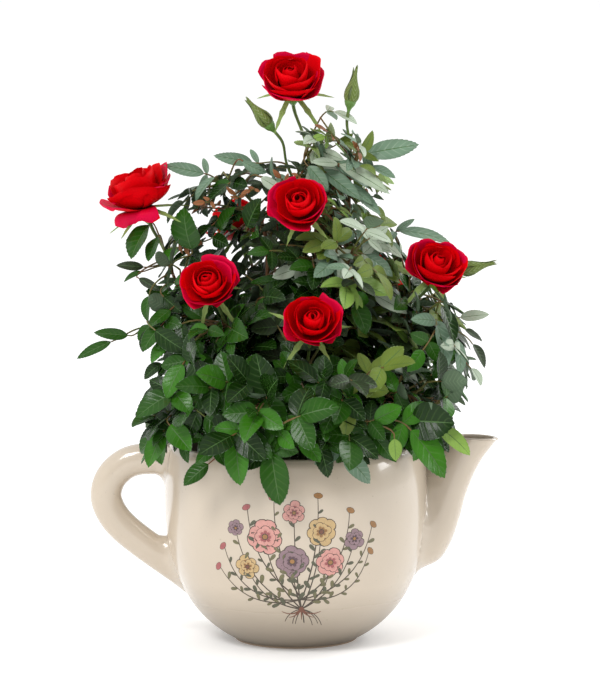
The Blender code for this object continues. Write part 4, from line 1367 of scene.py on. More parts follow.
TWIG_ROUNDS = 4
TWIG_LEAF_TRIES = 7
HIGH_LEAVES = 0.25  # leaves above this height are slim, and have tones of their own
SLIM = (0.42, 0.58)  # the least and most width of a slim leaflet as a share of its length


def edge_leaf(row, wood, dice):
    """The leaf of a row of EDGE_LEAVES, on a stalk from the nearest wood."""
    foot, tip = Vector(row[:3]) * MM, Vector(row[3:6]) * MM
    width, tone, *pair = row[6:]
    way = (tip - foot).normalized()
    outward = Vector((foot.x, foot.y, 0)).normalized()
    face = outward * 0.8 + UP * 0.6
    if abs(way.dot(face.normalized())) > 0.6:
        face = outward * 0.9 + UP * 0.35
    face = face - way * face.dot(way) + (-DEPTH) * 0.5
    carrier = min(wood, key=lambda p: (p - foot + way * 8 * MM).length)
    span = (foot - carrier).length
    risen = carrier + (foot - carrier) * 0.4 + UP * span * 0.15
    stalk = bezier(carrier, risen, foot - way * span * 0.3, foot, 8)
    return Leaf(stalk, face, (tip - foot).length, width, len(pair), sum(pair), tone, dice, 68)


def stem_leaf(crown, shoot, tries, dice):
    """Adds the first of the tries that is clear."""
    small = 0.74 if shoot.tip.z > 300 * MM else 0.86 if shoot.tip.z > 240 * MM else 1.05
    for root, way, face, size in tries:
        if not in_own_space(shoot.name, root + way * RACHIS_LENGTH * size):
            continue
        stalk = curved_stalk(root, way, 22 * MM * size, 0.12)
        pairs = dice.choice((1, 2, 2))
        width = dice.uniform(*(SLIM if stalk[-1].z > HIGH_LEAVES else (0.5, 0.66)))
        tone = tone_at(stalk[-1], dice)
        if crown.takes(Leaf(stalk, face, 25 * MM * size * small, width, pairs, 0.88, tone, dice)):
            return


def twig_leaf(crown, shoot, foot, way, outward, dice):
    """Tries for a leaf at a place on a side twig, and adds the first that is clear."""
    for _ in range(TWIG_LEAF_TRIES):
        lean = Vector([dice.uniform(-0.8, 0.8) for _ in range(3)]) - UP * 0.15
        leaf_way = (way + lean + outward * 0.3).normalized()
        face = UP * 0.55 + outward * 0.5 + outward.normalized() * 0.6
        face = face + Vector([dice.uniform(-0.4, 0.4) for _ in range(3)])
        size = shoot.leaf * dice.uniform(0.6, 0.95) * (0.8 if foot.z > 0.3 else 1.0)
        stalk = curved_stalk(foot, leaf_way, 13 * MM * size, 0.1)
        width = dice.uniform(*(SLIM if foot.z > HIGH_LEAVES else (0.48, 0.66)))
        pairs = dice.choice((1, 1, 2))
        tone = tone_at(stalk[-1], dice)
        if crown.takes(Leaf(stalk, face, 24 * MM * size, width, pairs, 0.9, tone, dice)):
            return


def side_twig(crown, shoot, share, dice):
    """A side twig at a share of a stem's length, or nothing if no leaf finds a place on it."""
    root, beyond = stretch(STEMS[shoot.name], min(share, 0.96), min(share + 0.02, 1.0), 2)
    axis = (beyond - root).normalized()
    side = sideways(axis, dice.uniform(0, math.tau))
    outward = Vector((root.x, root.y, 0)) / BELLY_RADIUS
    way = (side + axis * 0.5 + outward * 0.5 + UP * dice.uniform(-0.2, 0.3)).normalized()
    reach = dice.uniform(14, 34) * MM
    end = root + way * reach + UP * reach * 0.15
    risen = (way + UP * 0.3).normalized()
    twig = bezier(root, root + way * reach * 0.4, end - risen * reach * 0.3, end, 6)
    bare = len(crown.leaves)
    for at in (6, 3):
        twig_leaf(crown, shoot, twig[at], way, outward, dice)
    return [twig] if len(crown.leaves) > bare else []


def grown_crown():
    """Every leaf of the bush, and the side twigs that fill the crown between the stems."""
    crown, twigs = Crown(), []
    dice = random.Random(12)
    wood = [p for line in LINES.values() for p in line[int(PATH_STEPS * 0.4) :]]
    for row in EDGE_LEAVES:
        crown.takes(edge_leaf(row, wood, dice), anyhow=True)
    for shoot in sorted(SHOOTS, key=lambda shoot: shoot.tip.z):
        for tries in leaf_tries(shoot, STEMS[shoot.name]):
            stem_leaf(crown, shoot, tries, dice)
    for shoot in SHOOTS * TWIG_ROUNDS:
        count = 7 if shoot.name == "high_left" else 5 if shoot.tip.z > 240 * MM else 6
        for k in range(count):
            twigs += side_twig(crown, shoot, (k + dice.uniform(0.1, 0.9)) / count, dice)
    return crown, twigs


HIGH_REGION = 270 * MM
BACK_REGION = 25 * MM
LEFT_REGION = -30 * MM
RIGHT_REGION = 32 * MM


def region_of(place):
    """The part of the crown that a leaf belongs to."""
    if place.z > HIGH_REGION:
        return "high"
    if place.y > BACK_REGION:
        return "back"
    if place.x < LEFT_REGION:
        return "left"
    return "right" if place.x > RIGHT_REGION else "front"


# ---- Blooms


def sheet_skin(grid, thickness):
    """A closed sheet over a grid: its two sides, with slots 0 and 1, and the margin that they share."""
    rows, columns = grid.shape[:2]
    du = np.gradient(grid, axis=1)
    dv = np.gradient(grid, axis=0)
    normal = np.cross(du, dv)
    normal /= np.maximum(np.linalg.norm(normal, axis=-1, keepdims=True), 1e-9)
    points, index, faces, slots, places = [], {}, [], [], []
    for side in (1, -1):
        for r in range(rows):
            for c in range(columns):
                edge = r in (0, rows - 1) or c in (0, columns - 1)
                if edge and side < 0:
                    index[r, c, side] = index[r, c, 1]
                    continue
                index[r, c, side] = len(points)
                points.append(grid[r, c] + (0 if edge else side * thickness / 2) * normal[r, c])
    for side in (1, -1):
        for r in range(rows - 1):
            for c in range(columns - 1):
                cells = ((r, c), (r, c + 1), (r + 1, c + 1), (r + 1, c))
                cells = cells if side > 0 else cells[::-1]
                faces.append(tuple(index[cell[0], cell[1], side] for cell in cells))
                slots.append(0 if side > 0 else 1)
                places += [(cell[1] / (columns - 1), cell[0] / (rows - 1)) for cell in cells]
    return np.array(points), faces, slots, places


# How a petal runs from its claw to its margin, in millimetres out from the bloom's axis and up from its seat.
# Rows are the innermost petal, two between and the outermost, and columns are shares of its length.
PETAL_SHARES = (0, 0.25, 0.5, 0.75, 1)
PETAL_OUT = (
    (0.8, 2.6, 3.2, 2.4, 0.6),
    (1.2, 5.6, 8.2, 8.8, 8.0),
    (1.6, 8.2, 12.2, 14.0, 14.6),
    (2.0, 9.8, 14.8, 17.4, 19.0),
)
PETAL_UP = (
    (0, 4.8, 10.0, 14.8, 17.6),
    (0, 4.4, 9.8, 15.0, 18.0),
    (-0.5, 2.9, 8.0, 13.0, 16.0),
    (-1, 1.3, 5.4, 9.6, 10.4),
)
# Petals that have come loose: (bloom, heading in the bloom's own frame in degrees, how far open, size)
LOOSE_PETALS = (
    ("upper_left", 205, 1.1, 1.12),
    ("upper_left", 246, 1.55, 0.85),
    ("upper_left", 340, 0.95, 1.05),
    ("top", 8, 1.06, 0.9),
    ("left", 50, 1.0, 1),
    ("right", 350, 1.1, 1),
    ("middle", 48, 0.95, 0.82),
    ("low_front", 15, 1.05, 1),
)


def petal(t, turn, dice):
    """A petal as a grid of points in millimetres: t runs from 0, innermost, to 1, and on if it is loose."""
    key = min(t, 1.0) * 3
    k = min(int(key), 2)
    rows = (np.array(table[k : k + 2]) for table in (PETAL_OUT, PETAL_UP))
    out, up = (inner * (1 - key + k) + outer * (key - k) for inner, outer in rows)
    if t > 1:
        fallen = (t - 1) / 0.6
        out = out + np.array((0, 0.5, 1.0, 1.0, -1.5)) * fallen
        up = up + np.array((0, -1.5, -5.0, -12.0, -18.0)) * fallen
    lean, grown = dice.uniform(-0.2, 0.14) * min(t + 0.3, 1), dice.uniform(0.84, 1.06)
    u = np.linspace(-1, 1, 13)[None, :]
    v = np.linspace(0, 1, 11)[:, None]
    # The margin is round, with a small point in its middle.
    v = v * (1 - 0.20 * np.abs(u) ** 2.6 + 0.03 * np.cos(u * 5 + turn) * t)
    radius, height = (np.polyval(np.polyfit(PETAL_SHARES, run * grown, 4), v) for run in (out, up))
    radius = radius - lean * height
    half = (6.0 + 9.5 * min(t, 1.1) ** 0.7) * np.sin((0.14 + 0.86 * v) ** 0.8 * math.pi * 0.56) * 1.1
    curl = np.maximum(radius * (1.0 + 0.35 * t), 2.4)
    swing = np.clip(u * half / curl, -2.1, 2.1)
    # One side lies inside its neighbour and the other outside, and the sides of an outer petal roll back.
    lap = (0.5 + 1.0 * t) * u * v
    x = radius - curl * (1 - np.cos(swing)) + lap
    y = curl * np.sin(swing)
    ruffle = (1.0 + 1.0 * t) * v**3 * np.sin(u * (3.5 + 2 * math.sin(turn * 5)) + turn * 3)
    ruffle = ruffle + (0.25 + 0.3 * t) * v**4 * np.sin(u * 11 + turn * 7)
    z = height + ruffle * 0.8 - t**2 * 2.6 * np.abs(u) ** 2.5 * v**2
    x = x + ruffle * 0.45 + 0.9 * t * np.abs(u) ** 3 * v**2
    c, si = math.cos(turn), math.sin(turn)
    return np.stack([x * c - y * si, x * si + y * c, np.broadcast_to(z, x.shape)], -1)


PETALS = 20
PETAL_THICKNESS = 0.42 * MM
OUTER_PETALS = 0.74  # petals from here on show the colours of the rose's outside


def bloom_parts(shoot):
    """The skins of a bloom's petals. Slots 0 and 1 are the sides of the inner ones, 2 and 3 of the outer."""
    dice = random.Random(shoot.name + " petals")
    turn = dice.uniform(0, math.tau)
    grown = []
    for k in range(PETALS):
        t = k / (PETALS - 1)
        turn += GOLDEN_TURN + dice.uniform(-0.6, 0.6)
        grown.append((min(1.0, t * dice.uniform(0.93, 1.05)), turn, 1.0))
    loose = [row[1:] for row in LOOSE_PETALS if row[0] == shoot.name]
    grown += [(t, math.radians(heading), size) for heading, t, size in loose]
    made = []
    for t, turn, size in grown:
        points, faces, slots, places = sheet_skin(petal(t, turn, dice) * size * MM, PETAL_THICKNESS)
        slots = [slot + 2 * (t > OUTER_PETALS) for slot in slots]
        made.append((moved(points, bloom_frame(shoot)), faces, slots, places))
    return made


def moved(points, frame_of):
    """Points carried into a frame."""
    return (np.concatenate([points, np.ones((len(points), 1))], 1) @ np.array(frame_of).T)[:, :3]


def bloom_frame(shoot):
    """The frame of a bloom or a bud: it stands on the seat and rises the way it faces."""
    low = shoot.place - shoot.facing * ROSE_SEAT * shoot.size if shoot.carries == "rose" else shoot.place
    turn = UP.rotation_difference(shoot.facing).to_matrix().to_4x4()
    return Matrix.Translation(low) @ turn @ Matrix.Scale(shoot.size, 4)


def sepal_part(frame, length, width, curl):
    """A long pointed sepal with frayed sides, from the frame's origin along +X, curling towards -Z."""
    columns, rows = 5, 12
    grid = np.zeros((rows, columns, 3))
    for r in range(rows):
        v = r / (rows - 1)
        half = width / 2 * (1 - v) ** 0.75 * (0.55 + 1.35 * v ** 0.8 * (1 - v * 0.55)) + 0.12 * MM * (1 - v)
        fray = 1 + (0.35 if r in (5, 8) else 0.0)
        for c in range(columns):
            u = 2 * c / (columns - 1) - 1
            a = curl * v
            x = length * (math.sin(a) / curl if abs(curl) > 0.01 else v)
            z = -length * ((1 - math.cos(a)) / curl if abs(curl) > 0.01 else 0) + abs(u) * half * 0.5
            grid[r, c] = (x, u * half * (fray if abs(u) == 1 else 1), z)
    points, *rest = sheet_skin(grid, 0.5 * MM)
    return moved(points, frame), *rest


def turned_part(rings, sides, frame, slot, fluted=0.0):
    """A turned body over (height, radius) rings in millimetres, in a frame."""
    points = []
    for height, radius in rings:
        for k in range(sides):
            angle = math.tau * k / sides
            reach = radius * (1 + fluted * math.cos(5 * angle))
            points.append((reach * math.cos(angle) * MM, reach * math.sin(angle) * MM, height * MM))
    faces = ring_faces(len(rings), sides)
    return moved(points, frame), faces, [slot] * len(faces), [(0.5, 0.5)] * sum(map(len, faces))


# Turned bodies as (height, radius) in millimetres: the hip of an open bloom and of a bud, and the closed bud
HIP = (
    (-11, 1.35), (-9.6, 2.2), (-8, 3.1), (-6.2, 3.6), (-4.4, 3.5),
    (-3.2, 3.0), (-1.8, 3.2), (0.6, 3.4), (1.6, 2.2),
)
BUD_HIP = (
    (-11, 0.8), (-9, 0.95), (-6.5, 1.05), (-4.5, 1.8),
    (-2.5, 3.2), (-0.5, 3.9), (1.5, 4.0), (2.5, 3.8),
)
BUD = ((0.5, 3.4), (2.5, 4.5), (5, 4.8), (8, 4.1), (11, 2.9), (14, 1.7), (17, 0.9), (19, 0.3))
# The radius of a bud's outside by height, under its sepals
BUD_HEIGHTS = (0, 2.5, 5, 8, 11, 14, 18, 26)
BUD_REACHES = (3.9, 4.9, 5.2, 4.6, 3.3, 2.1, 1.0, 0.4)
SEPALS = 5
SEPAL_OUT = 2.0 * MM  # where a rose's sepals start, from the bloom's axis
SEPAL_DOWN = 2.4 * MM  # and below its seat
SEPAL_WIDTH = 4.0 * MM
LOOSE_SEPAL = 1.62  # how far one sepal of a bud stands off at its tip, in millimetres


def calyx_parts():
    """Hips, sepals and buds of every flower stalk."""
    dice = random.Random("calyx")
    parts = []
    for shoot in SHOOTS:
        frame_of = bloom_frame(shoot) if shoot.carries else None
        if shoot.carries == "rose":
            parts.append(turned_part(HIP, 14, frame_of, 2))
            for k in range(SEPALS):
                angle = k * math.tau / SEPALS + 0.3 + dice.uniform(-0.15, 0.15)
                around = Vector((math.cos(angle), math.sin(angle), dice.uniform(-0.55, 0.0)))
                start = Vector((math.cos(angle), math.sin(angle), 0)) * SEPAL_OUT - UP * SEPAL_DOWN
                local = frame_of @ facing_matrix(start, around, UP)
                length, curl = dice.uniform(22, 28) * MM, dice.uniform(-0.1, 0.8)
                parts.append(sepal_part(local, length, SEPAL_WIDTH, curl))
        elif shoot.carries == "bud":
            parts.append(turned_part(BUD_HIP, 12, frame_of, 2))
            parts.append(turned_part(BUD, 15, frame_of, 3, 0.05))
            for k in range(SEPALS):
                angle = k * math.tau / SEPALS + dice.uniform(-0.1, 0.1)
                parts.append(clasping_sepal(frame_of, angle, dice, LOOSE_SEPAL if k == 2 else 0.0))
    return parts


def clasping_sepal(frame_of, angle, dice, open_by):
    """A sepal that lies on a closed bud and runs out past its tip, in millimetres."""
    columns, rows = 5, 14
    grid = np.zeros((rows, columns, 3))
    length = dice.uniform(21, 25)
    flare = dice.uniform(0.0, 0.5)
    for r in range(rows):
        v = r / (rows - 1)
        height = 0.6 + length * v
        out = float(np.interp(height, BUD_HEIGHTS, BUD_REACHES)) + flare * v**3 + open_by * v**2
        half = 3.3 * (1 - v) ** 0.8 * (0.75 + 0.7 * v) + 0.14
        for c in range(columns):
            u = 2 * c / (columns - 1) - 1
            swing = min(1.2, max(-1.2, u * half / max(out, 0.6)))
            grid[r, c] = (out * math.cos(angle + swing), out * math.sin(angle + swing), height)
    points, faces, slots, places = sheet_skin(grid * MM, 0.35 * MM)
    return moved(points, frame_of), faces, [4] * len(slots), places


# ---- Geometry Nodes trees


class NodeTree:
    """A Geometry Nodes tree with named inputs, built node by node."""

    def __init__(self, name, **inputs):
        self.tree = bpy.data.node_groups.new(name, "GeometryNodeTree")
        face = self.tree.interface
        face.new_socket("Geometry", in_out="INPUT", socket_type="NodeSocketGeometry")
        self.names = {}
        for label, kind in inputs.items():
            socket = face.new_socket(label, in_out="INPUT", socket_type="NodeSocket" + kind)
            self.names[label] = socket.identifier
        face.new_socket("Geometry", in_out="OUTPUT", socket_type="NodeSocketGeometry")
        self.given = self.tree.nodes.new("NodeGroupInput").outputs
        self.end = self.tree.nodes.new("NodeGroupOutput")

    def node(self, kind, settings=None, inputs=None):
        return add_node(self.tree, kind, settings, inputs)

    def shifted(self, geometry, offset):
        inputs = {"Geometry": geometry, "Offset": offset}
        return self.node("GeometryNodeSetPosition", inputs=inputs).outputs[0]

    def sown(self, points, instance, rotation, scale):
        """The instance on every point, made real."""
        inputs = {"Points": points, "Instance": instance, "Rotation": rotation, "Scale": scale}
        strewn = self.node("GeometryNodeInstanceOnPoints", inputs=inputs).outputs[0]
        return self.node("GeometryNodeRealizeInstances", inputs={"Geometry": strewn}).outputs[0]

    def finish(self, geometry):
        """Ends the tree in Set Material."""
        inputs = {"Geometry": geometry, "Material": self.given["Finish"]}
        feed(self.end.inputs[0], self.node("GeometryNodeSetMaterial", inputs=inputs).outputs[0])
        return self

    def applied(self, mesh, name, **values):
        """Runs the tree on a mesh, and gives the result as a plain object."""
        source = placed(mesh.name, mesh)
        modifier = source.modifiers.new("grown", "NODES")
        modifier.node_group = self.tree
        for label, value in values.items():
            modifier[self.names[label]] = value
        bpy.context.view_layer.update()
        depsgraph = bpy.context.evaluated_depsgraph_get()
        grown = bpy.data.meshes.new_from_object(source.evaluated_get(depsgraph))
        grown.name = name
        source.modifiers.remove(modifier)
        bpy.data.objects.remove(source)
        return placed(name, grown)


CRUMB_DENTS = 1.6 * MM
PRICKLE_HOOK = -130.0  # how far a prickle bends per square of its height


def crumb_tree():
    """Crumbs strewn over a surface, each a lump of its own shape."""
    made = NodeTree("peat crumbs", Size="Float", Density="Float", Seed="Int", Finish="Material")
    seed = made.given["Seed"]
    spots = made.node(
        "GeometryNodeDistributePointsOnFaces",
        inputs={"Mesh": made.given["Geometry"], "Density": made.given["Density"], "Seed": seed},
    )
    lump = made.node("GeometryNodeMeshIcoSphere", inputs={"Radius": made.given["Size"], "Subdivisions": 1})
    vector = {"data_type": "FLOAT_VECTOR"}
    turn = made.node("FunctionNodeRandomValue", vector, {"Max": (math.tau,) * 3, "Seed": seed})
    size = made.node("FunctionNodeRandomValue", vector, {"Min": (0.35, 0.35, 0.3), "Max": (1.3, 1.1, 0.8)})
    turn, size = turn.outputs["Value"], size.outputs["Value"]
    real = made.sown(spots.outputs["Points"], lump.outputs["Mesh"], turn, size)
    dent = made.node("ShaderNodeTexNoise", inputs={"Scale": 700.0, "Detail": 2.0}).outputs["Color"]
    for operation, inputs in (("SUBTRACT", {1: (0.5, 0.5, 0.5)}), ("SCALE", {"Scale": CRUMB_DENTS})):
        dent = made.node("ShaderNodeVectorMath", {"operation": operation}, {0: dent, **inputs}).outputs[0]
    return made.finish(made.shifted(real, dent))


def prickle_tree():
    """A hooked prickle on every point, along the point's aim."""
    made = NodeTree("prickles", Length="Float", Finish="Material")
    form = {"Radius Top": 0.06 * MM, "Radius Bottom": 0.75 * MM, "Depth": made.given["Length"]}
    form.update({"Vertices": 6, "Side Segments": 3})
    spike = made.node("GeometryNodeMeshCone", {"fill_type": "NONE"}, form).outputs["Mesh"]
    place = made.node("GeometryNodeInputPosition").outputs[0]
    height = made.node("ShaderNodeSeparateXYZ", inputs={0: place}).outputs["Z"]
    square = made.node("ShaderNodeMath", {"operation": "MULTIPLY"}, {0: height, 1: height}).outputs[0]
    hook = made.node("ShaderNodeMath", {"operation": "MULTIPLY"}, {0: square, 1: PRICKLE_HOOK}).outputs[0]
    hooked = made.shifted(spike, made.node("ShaderNodeCombineXYZ", inputs={"X": hook}).outputs[0])
    aim = made.node("GeometryNodeInputNamedAttribute", {"data_type": "FLOAT_VECTOR"}, {"Name": "aim"})
    turn = made.node("FunctionNodeAlignRotationToVector", {"axis": "Z"}, {"Vector": aim.outputs["Attribute"]})
    size = made.node("FunctionNodeRandomValue", {"data_type": "FLOAT"}, {2: 0.55, 3: 1.1, "Seed": 7})
    return made.finish(made.sown(made.given["Geometry"], hooked, turn.outputs[0], size.outputs[1]))


# ---- Settings


def colour_setting(name, description, default):
    look = {"subtype": "COLOR", "size": 3, "min": 0, "max": 1}
    return bpy.props.FloatVectorProperty(name=name, description=description, default=default, **look)


def size_setting(name, description, default, unit="LENGTH"):
    return bpy.props.FloatProperty(name=name, description=description, default=default, min=0, unit=unit)


class PlanterSettings(bpy.types.PropertyGroup):
    glaze: colour_setting("Glaze", "Colour of the planter's glaze", (0.595, 0.505, 0.398))
    soil: colour_setting("Soil", "Colour of the potting soil", (0.045, 0.028, 0.018))
    crumb: size_setting("Crumb", "Radius of a crumb of soil", 1.5 * MM)


class ShootSettings(bpy.types.PropertyGroup):
    wood: colour_setting("Old wood", "Colour of the canes near the soil", (0.10, 0.075, 0.03))
    green: colour_setting("Green stem", "Colour of the leafy stems", (0.075, 0.12, 0.025))
    flush: colour_setting("Red flush", "Colour that young stems are flushed with", (0.17, 0.035, 0.02))
    prickle: size_setting("Prickle", "Length of a prickle", 3.0 * MM)


class LeafSettings(bpy.types.PropertyGroup):
    deep: colour_setting("Deep green", "Leaves in the shade of the crown", (0.007, 0.029, 0.002))
    mid: colour_setting("Mid green", "Most leaves", (0.017, 0.074, 0.004))
    bright: colour_setting("Bright green", "Low leaves that face the light", (0.036, 0.152, 0.008))
    light: colour_setting("Light green", "Young leaves", (0.22, 0.36, 0.07))
    dusky: colour_setting("Dusky green", "Leaves seen in low light", (0.020, 0.034, 0.012))
    mint: colour_setting("Mint", "Broad leaves in a clear light", (0.155, 0.25, 0.165))
    # Sage is a bluish bloom with painted glare on it.
    sage: colour_setting("Sage", "Leaves with a bluish bloom on them", (0.42, 0.50, 0.38))
    ruddy: colour_setting("Ruddy", "Unfolding leaves at the top of the crown", (0.30, 0.11, 0.045))
    olive: colour_setting("Olive", "Yellowish leaves", (0.135, 0.195, 0.03))
    under: colour_setting("Underside", "The lower face of a leaf", (0.12, 0.18, 0.11))
    rib: colour_setting("Midrib", "The midrib on the upper face", (0.045, 0.115, 0.02))


class BloomSettings(bpy.types.PropertyGroup):
    heart: colour_setting("Heart", "Inner petals", (0.74, 0.0, 0.004))
    edge: colour_setting("Edge", "Backs of the outer petals", (0.62, 0.002, 0.05))
    calyx: colour_setting("Calyx", "Hips and sepals", (0.23, 0.33, 0.09))


class StageSettings(bpy.types.PropertyGroup):
    distance: size_setting("Camera distance", "From the camera to the bush", 3.4)
    elevation: size_setting("Camera elevation", "How far above the horizon", math.radians(8), "ROTATION")
    key: size_setting("Key light", "Power of the key light in watts", 38.0, "NONE")


# ---- Operators


class ROSE_OT_planter(bpy.types.Operator):
    """Makes the glazed planter as one smooth skin with its handle and spout, and the posy printed on it"""

    bl_idname = "rose.planter"
    bl_label = "Planter"

    def execute(self, context):
        glaze = glaze_finish(tuple(context.scene.rose_planter.glaze))
        skin = joined([turned(body_profile(), BODY_SIDES), handle_skin(), spout_skin()])
        pot = mesh_piece("planter", skin, [glaze], sharp=50)
        face_out(pot)
        seat(pot, "glaze", "pot_body", "pot_handle", "pot_spout")
        seat(printed_posy(), "glaze")
        return {"FINISHED"}


class ROSE_OT_soil(bpy.types.Operator):
    """Gives the soil its finish and strews crumbs of peat and a little perlite over it"""

    bl_idname = "rose.soil"
    bl_label = "Soil"

    def execute(self, context):
        settings = context.scene.rose_planter
        earth = soil_finish("potting soil", tuple(settings.soil))
        node = frame["nodes"]["soil"]
        for slot in node.material_slots:
            slot.material = earth
        pale = soil_finish("perlite", (0.62, 0.60, 0.55))
        tree = crumb_tree()
        rings = (2, 20, 40, 58, 68)  # of the ground that the crumbs lie on, in millimetres
        points = [p * MM for radius in rings for p in circle(40, radius, SOIL_LEVEL / MM + 0.4)]
        for name, finish, density, seed, size in (
            ("peat_crumbs", earth, 60000.0, 4, settings.crumb),
            ("perlite_grains", pale, 4200.0, 9, settings.crumb * 0.8),
        ):
            ground = plain_mesh(name + "_ground", points, ring_faces(len(rings), 40, False))
            seat(tree.applied(ground, name, Size=size, Density=density, Seed=seed, Finish=finish), "soil")
        return {"FINISHED"}


class ROSE_OT_shoots(bpy.types.Operator):
    """Grows the canes, stems and flower stalks with their bark's relief and prickles"""

    bl_idname = "rose.shoots"
    bl_label = "Shoots"

    def execute(self, context):
        settings = context.scene.rose_shoots
        dice = random.Random(3)
        wood, green, flush = tuple(settings.wood), tuple(settings.green), tuple(settings.flush)
        finishes = [
            bark_finish("old cane", green, wood, 30),
            bark_finish("green stem", green, flush, 24),
            bark_finish("flower stalk", scaled(green, 1.5), green, 30),
        ]
        canes = mesh_piece("canes_and_stems", joined(shoot_skins(dice)), finishes)
        seat(canes, "cane", *[n for n in frame["nodes"] if n.startswith("cane_")])
        spots, aims = [], []
        for shoot in SHOOTS:
            line = LINES[shoot.name]
            for k in range(int(line_length(line) / PRICKLE_SPACING)):
                share = min((k + dice.uniform(0.2, 0.8)) * PRICKLE_SPACING / line_length(line), 0.97)
                at, beyond = stretch(line, share, min(share + 0.02, 1), 2)
                axis = (beyond - at).normalized()
                side = sideways(axis, dice.uniform(0, math.tau))
                radius = CANE_RADIUS + (TIP_RADIUS - CANE_RADIUS) * share
                spots.append(at + side * (radius * 0.85 + settings.prickle * 0.42))
                aims.append(side - axis * 0.25)
        cloud = plain_mesh("prickle_points", spots)
        aim = cloud.attributes.new("aim", "FLOAT_VECTOR", "POINT")
        aim.data.foreach_set("vector", np.array([tuple(v) for v in aims], np.float32).ravel())
        thorn = rib_finish("prickle", (0.24, 0.07, 0.03))
        seat(prickle_tree().applied(cloud, "prickles", Length=settings.prickle, Finish=thorn), "cane")
        return {"FINISHED"}


class ROSE_OT_leaves(bpy.types.Operator):
    """Grows the crown: side twigs, leaf stalks and leaflets, joined by region"""

    bl_idname = "rose.leaves"
    bl_label = "Leaves"

    def execute(self, context):
        settings = context.scene.rose_leaves
        crown, twigs = grown_crown()
        dice = random.Random(21)
        finishes = []
        for tone, roughness in ROUGHNESS.items():
            # Sage and mint leaves get pale vein streaks, partly vein colour and partly painted glare.
            veins = (0.32, GREY_VEIN_AND_GLARE) if tone in ("sage", "mint") else (0.22,)
            finishes.append(blade_finish("leaf " + tone, tuple(getattr(settings, tone)), roughness, *veins))
        finishes.append(rib_finish("leaf midrib", tuple(settings.rib)))
        finishes.append(blade_finish("leaf underside", tuple(settings.under), 0.5, 0.5, (0.27, 0.36, 0.22)))
        finishes.append(blade_finish("young underside", (0.28, 0.40, 0.14), 0.48, 0.4, (0.34, 0.44, 0.2)))
        sprays = {}
        for leaf in crown.leaves:
            spray = sprays.setdefault(region_of(leaf.stalk[-1]), [])
            small = 0.6 if leaf.tone == "ruddy" else 1.0
            for foot, way, face, long, wide in leaf.leaflets:
                mood = [dice.uniform(least, most) for least, most in LEAFLET_MOODS]
                tone = TONES.index(dice.choice(NEAR_TONES.get(leaf.tone, (leaf.tone,))))
                placed_at = np.array(facing_matrix(foot, way, face))
                spray.append((placed_at, long * small, wide * small, *mood, tone))
        for region in sorted(sprays):
            piece = spray_piece("leaves_" + region + "_crown", sprays[region], finishes)
            stood_for = [shoot.name for shoot in SHOOTS if region_of(shoot.tip) == region]
            seat(piece, "leaf", *["leaves_" + name for name in stood_for])
        ruddy = bark_finish("leaf stalk", (0.12, 0.15, 0.035), (0.20, 0.055, 0.03), 60)
        skins = [tube(twig, [1.0 * MM - 0.07 * MM * k for k in range(len(twig))], 6) for twig in twigs]
        for stalk in (leaf.stalk for leaf in crown.leaves):
            skins.append(tube(stalk, [0.72 * MM - 0.3 * MM * k / len(stalk) for k in range(len(stalk))], 5))
        seat(mesh_piece("twigs_and_leaf_stalks", joined(skins), [ruddy]), "cane")
        return {"FINISHED"}


class ROSE_OT_blooms(bpy.types.Operator):
    """Makes the open roses petal by petal, and the hips, sepals and buds"""

    bl_idname = "rose.blooms"
    bl_label = "Blooms"

    def execute(self, context):
        settings = context.scene.rose_blooms
        heart, edge = tuple(settings.heart), tuple(settings.edge)
        finishes = [
            petal_finish("heart petal", heart, scaled(heart, 0.85), 0.7),
            petal_finish("heart petal back", scaled(heart, 0.85), heart, 0.5),
            petal_finish("outer petal", heart, scaled(heart, 0.8), 0.6),
            petal_finish("outer petal back", scaled(heart, 0.8), edge, 0.35),
        ]
        roses = [shoot for shoot in SHOOTS if shoot.carries == "rose"]
        for side in ("front", "back"):
            shoots = [shoot for shoot in roses if shoot.name.startswith("back") == (side == "back")]
            skin = joined([part for shoot in shoots for part in bloom_parts(shoot)])
            piece = mesh_piece("blooms_" + side, skin, finishes, sharp=70)
            seat(piece, "petal", *["rose_" + shoot.name for shoot in shoots])
        calyx = tuple(settings.calyx)
        green = [
            blade_finish("sepal inside", scaled(calyx, 1.35), 0.5, 0.2, (0.45, 0.5, 0.3)),
            blade_finish("sepal outside", calyx, 0.42, 0.2),
            rib_finish("hip", scaled(calyx, 0.5, 0.72, 0.5)),
            rib_finish("closed bud", scaled(calyx, 0.38)),
            # The pale streaks on a bud's sepals are partly their own pale edges and veins and partly painted
            # highlight.
            blade_finish("bud sepal", scaled(calyx, 0.5, 0.5, 0.37), 0.42, 0.55, (0.42, 0.48, 0.28)),
        ]
        seat(mesh_piece("hips_sepals_and_buds", joined(calyx_parts()), green), "leaf")
        return {"FINISHED"}


FRAME_HEIGHT = 0.46667  # metres that the frame's long side takes in at the bush
VIEW_CENTRE = Vector((0.00267, 0, 0.1948))
# The lamps as (name, place, size, power as a share of the key light's), and what they point at
LAMPS = (
    ("key", (-1.0, -2.0, 2.1), 0.9, 1),
    ("rim", (1.5, 0.9, 1.3), 0.8, 0.35),
    ("fill", (2.2, -0.2, 0.6), 0.5, 0.15),
)
LAMP_TARGET = Vector((0, 0, 0.2))
# The sky is white, and dimmer towards one side
DARK_SIDE = (0.56, -0.83, 0)
SKY = ((0.2, (1, 1, 1)), (0.85, (0.38, 0.38, 0.38)))


def aim(thing, place, way):
    """Puts a lamp or the camera at a place and points it along a way."""
    thing.location = place
    thing.rotation_mode = "QUATERNION"
    thing.rotation_quaternion = way.to_track_quat("-Z", "Y")


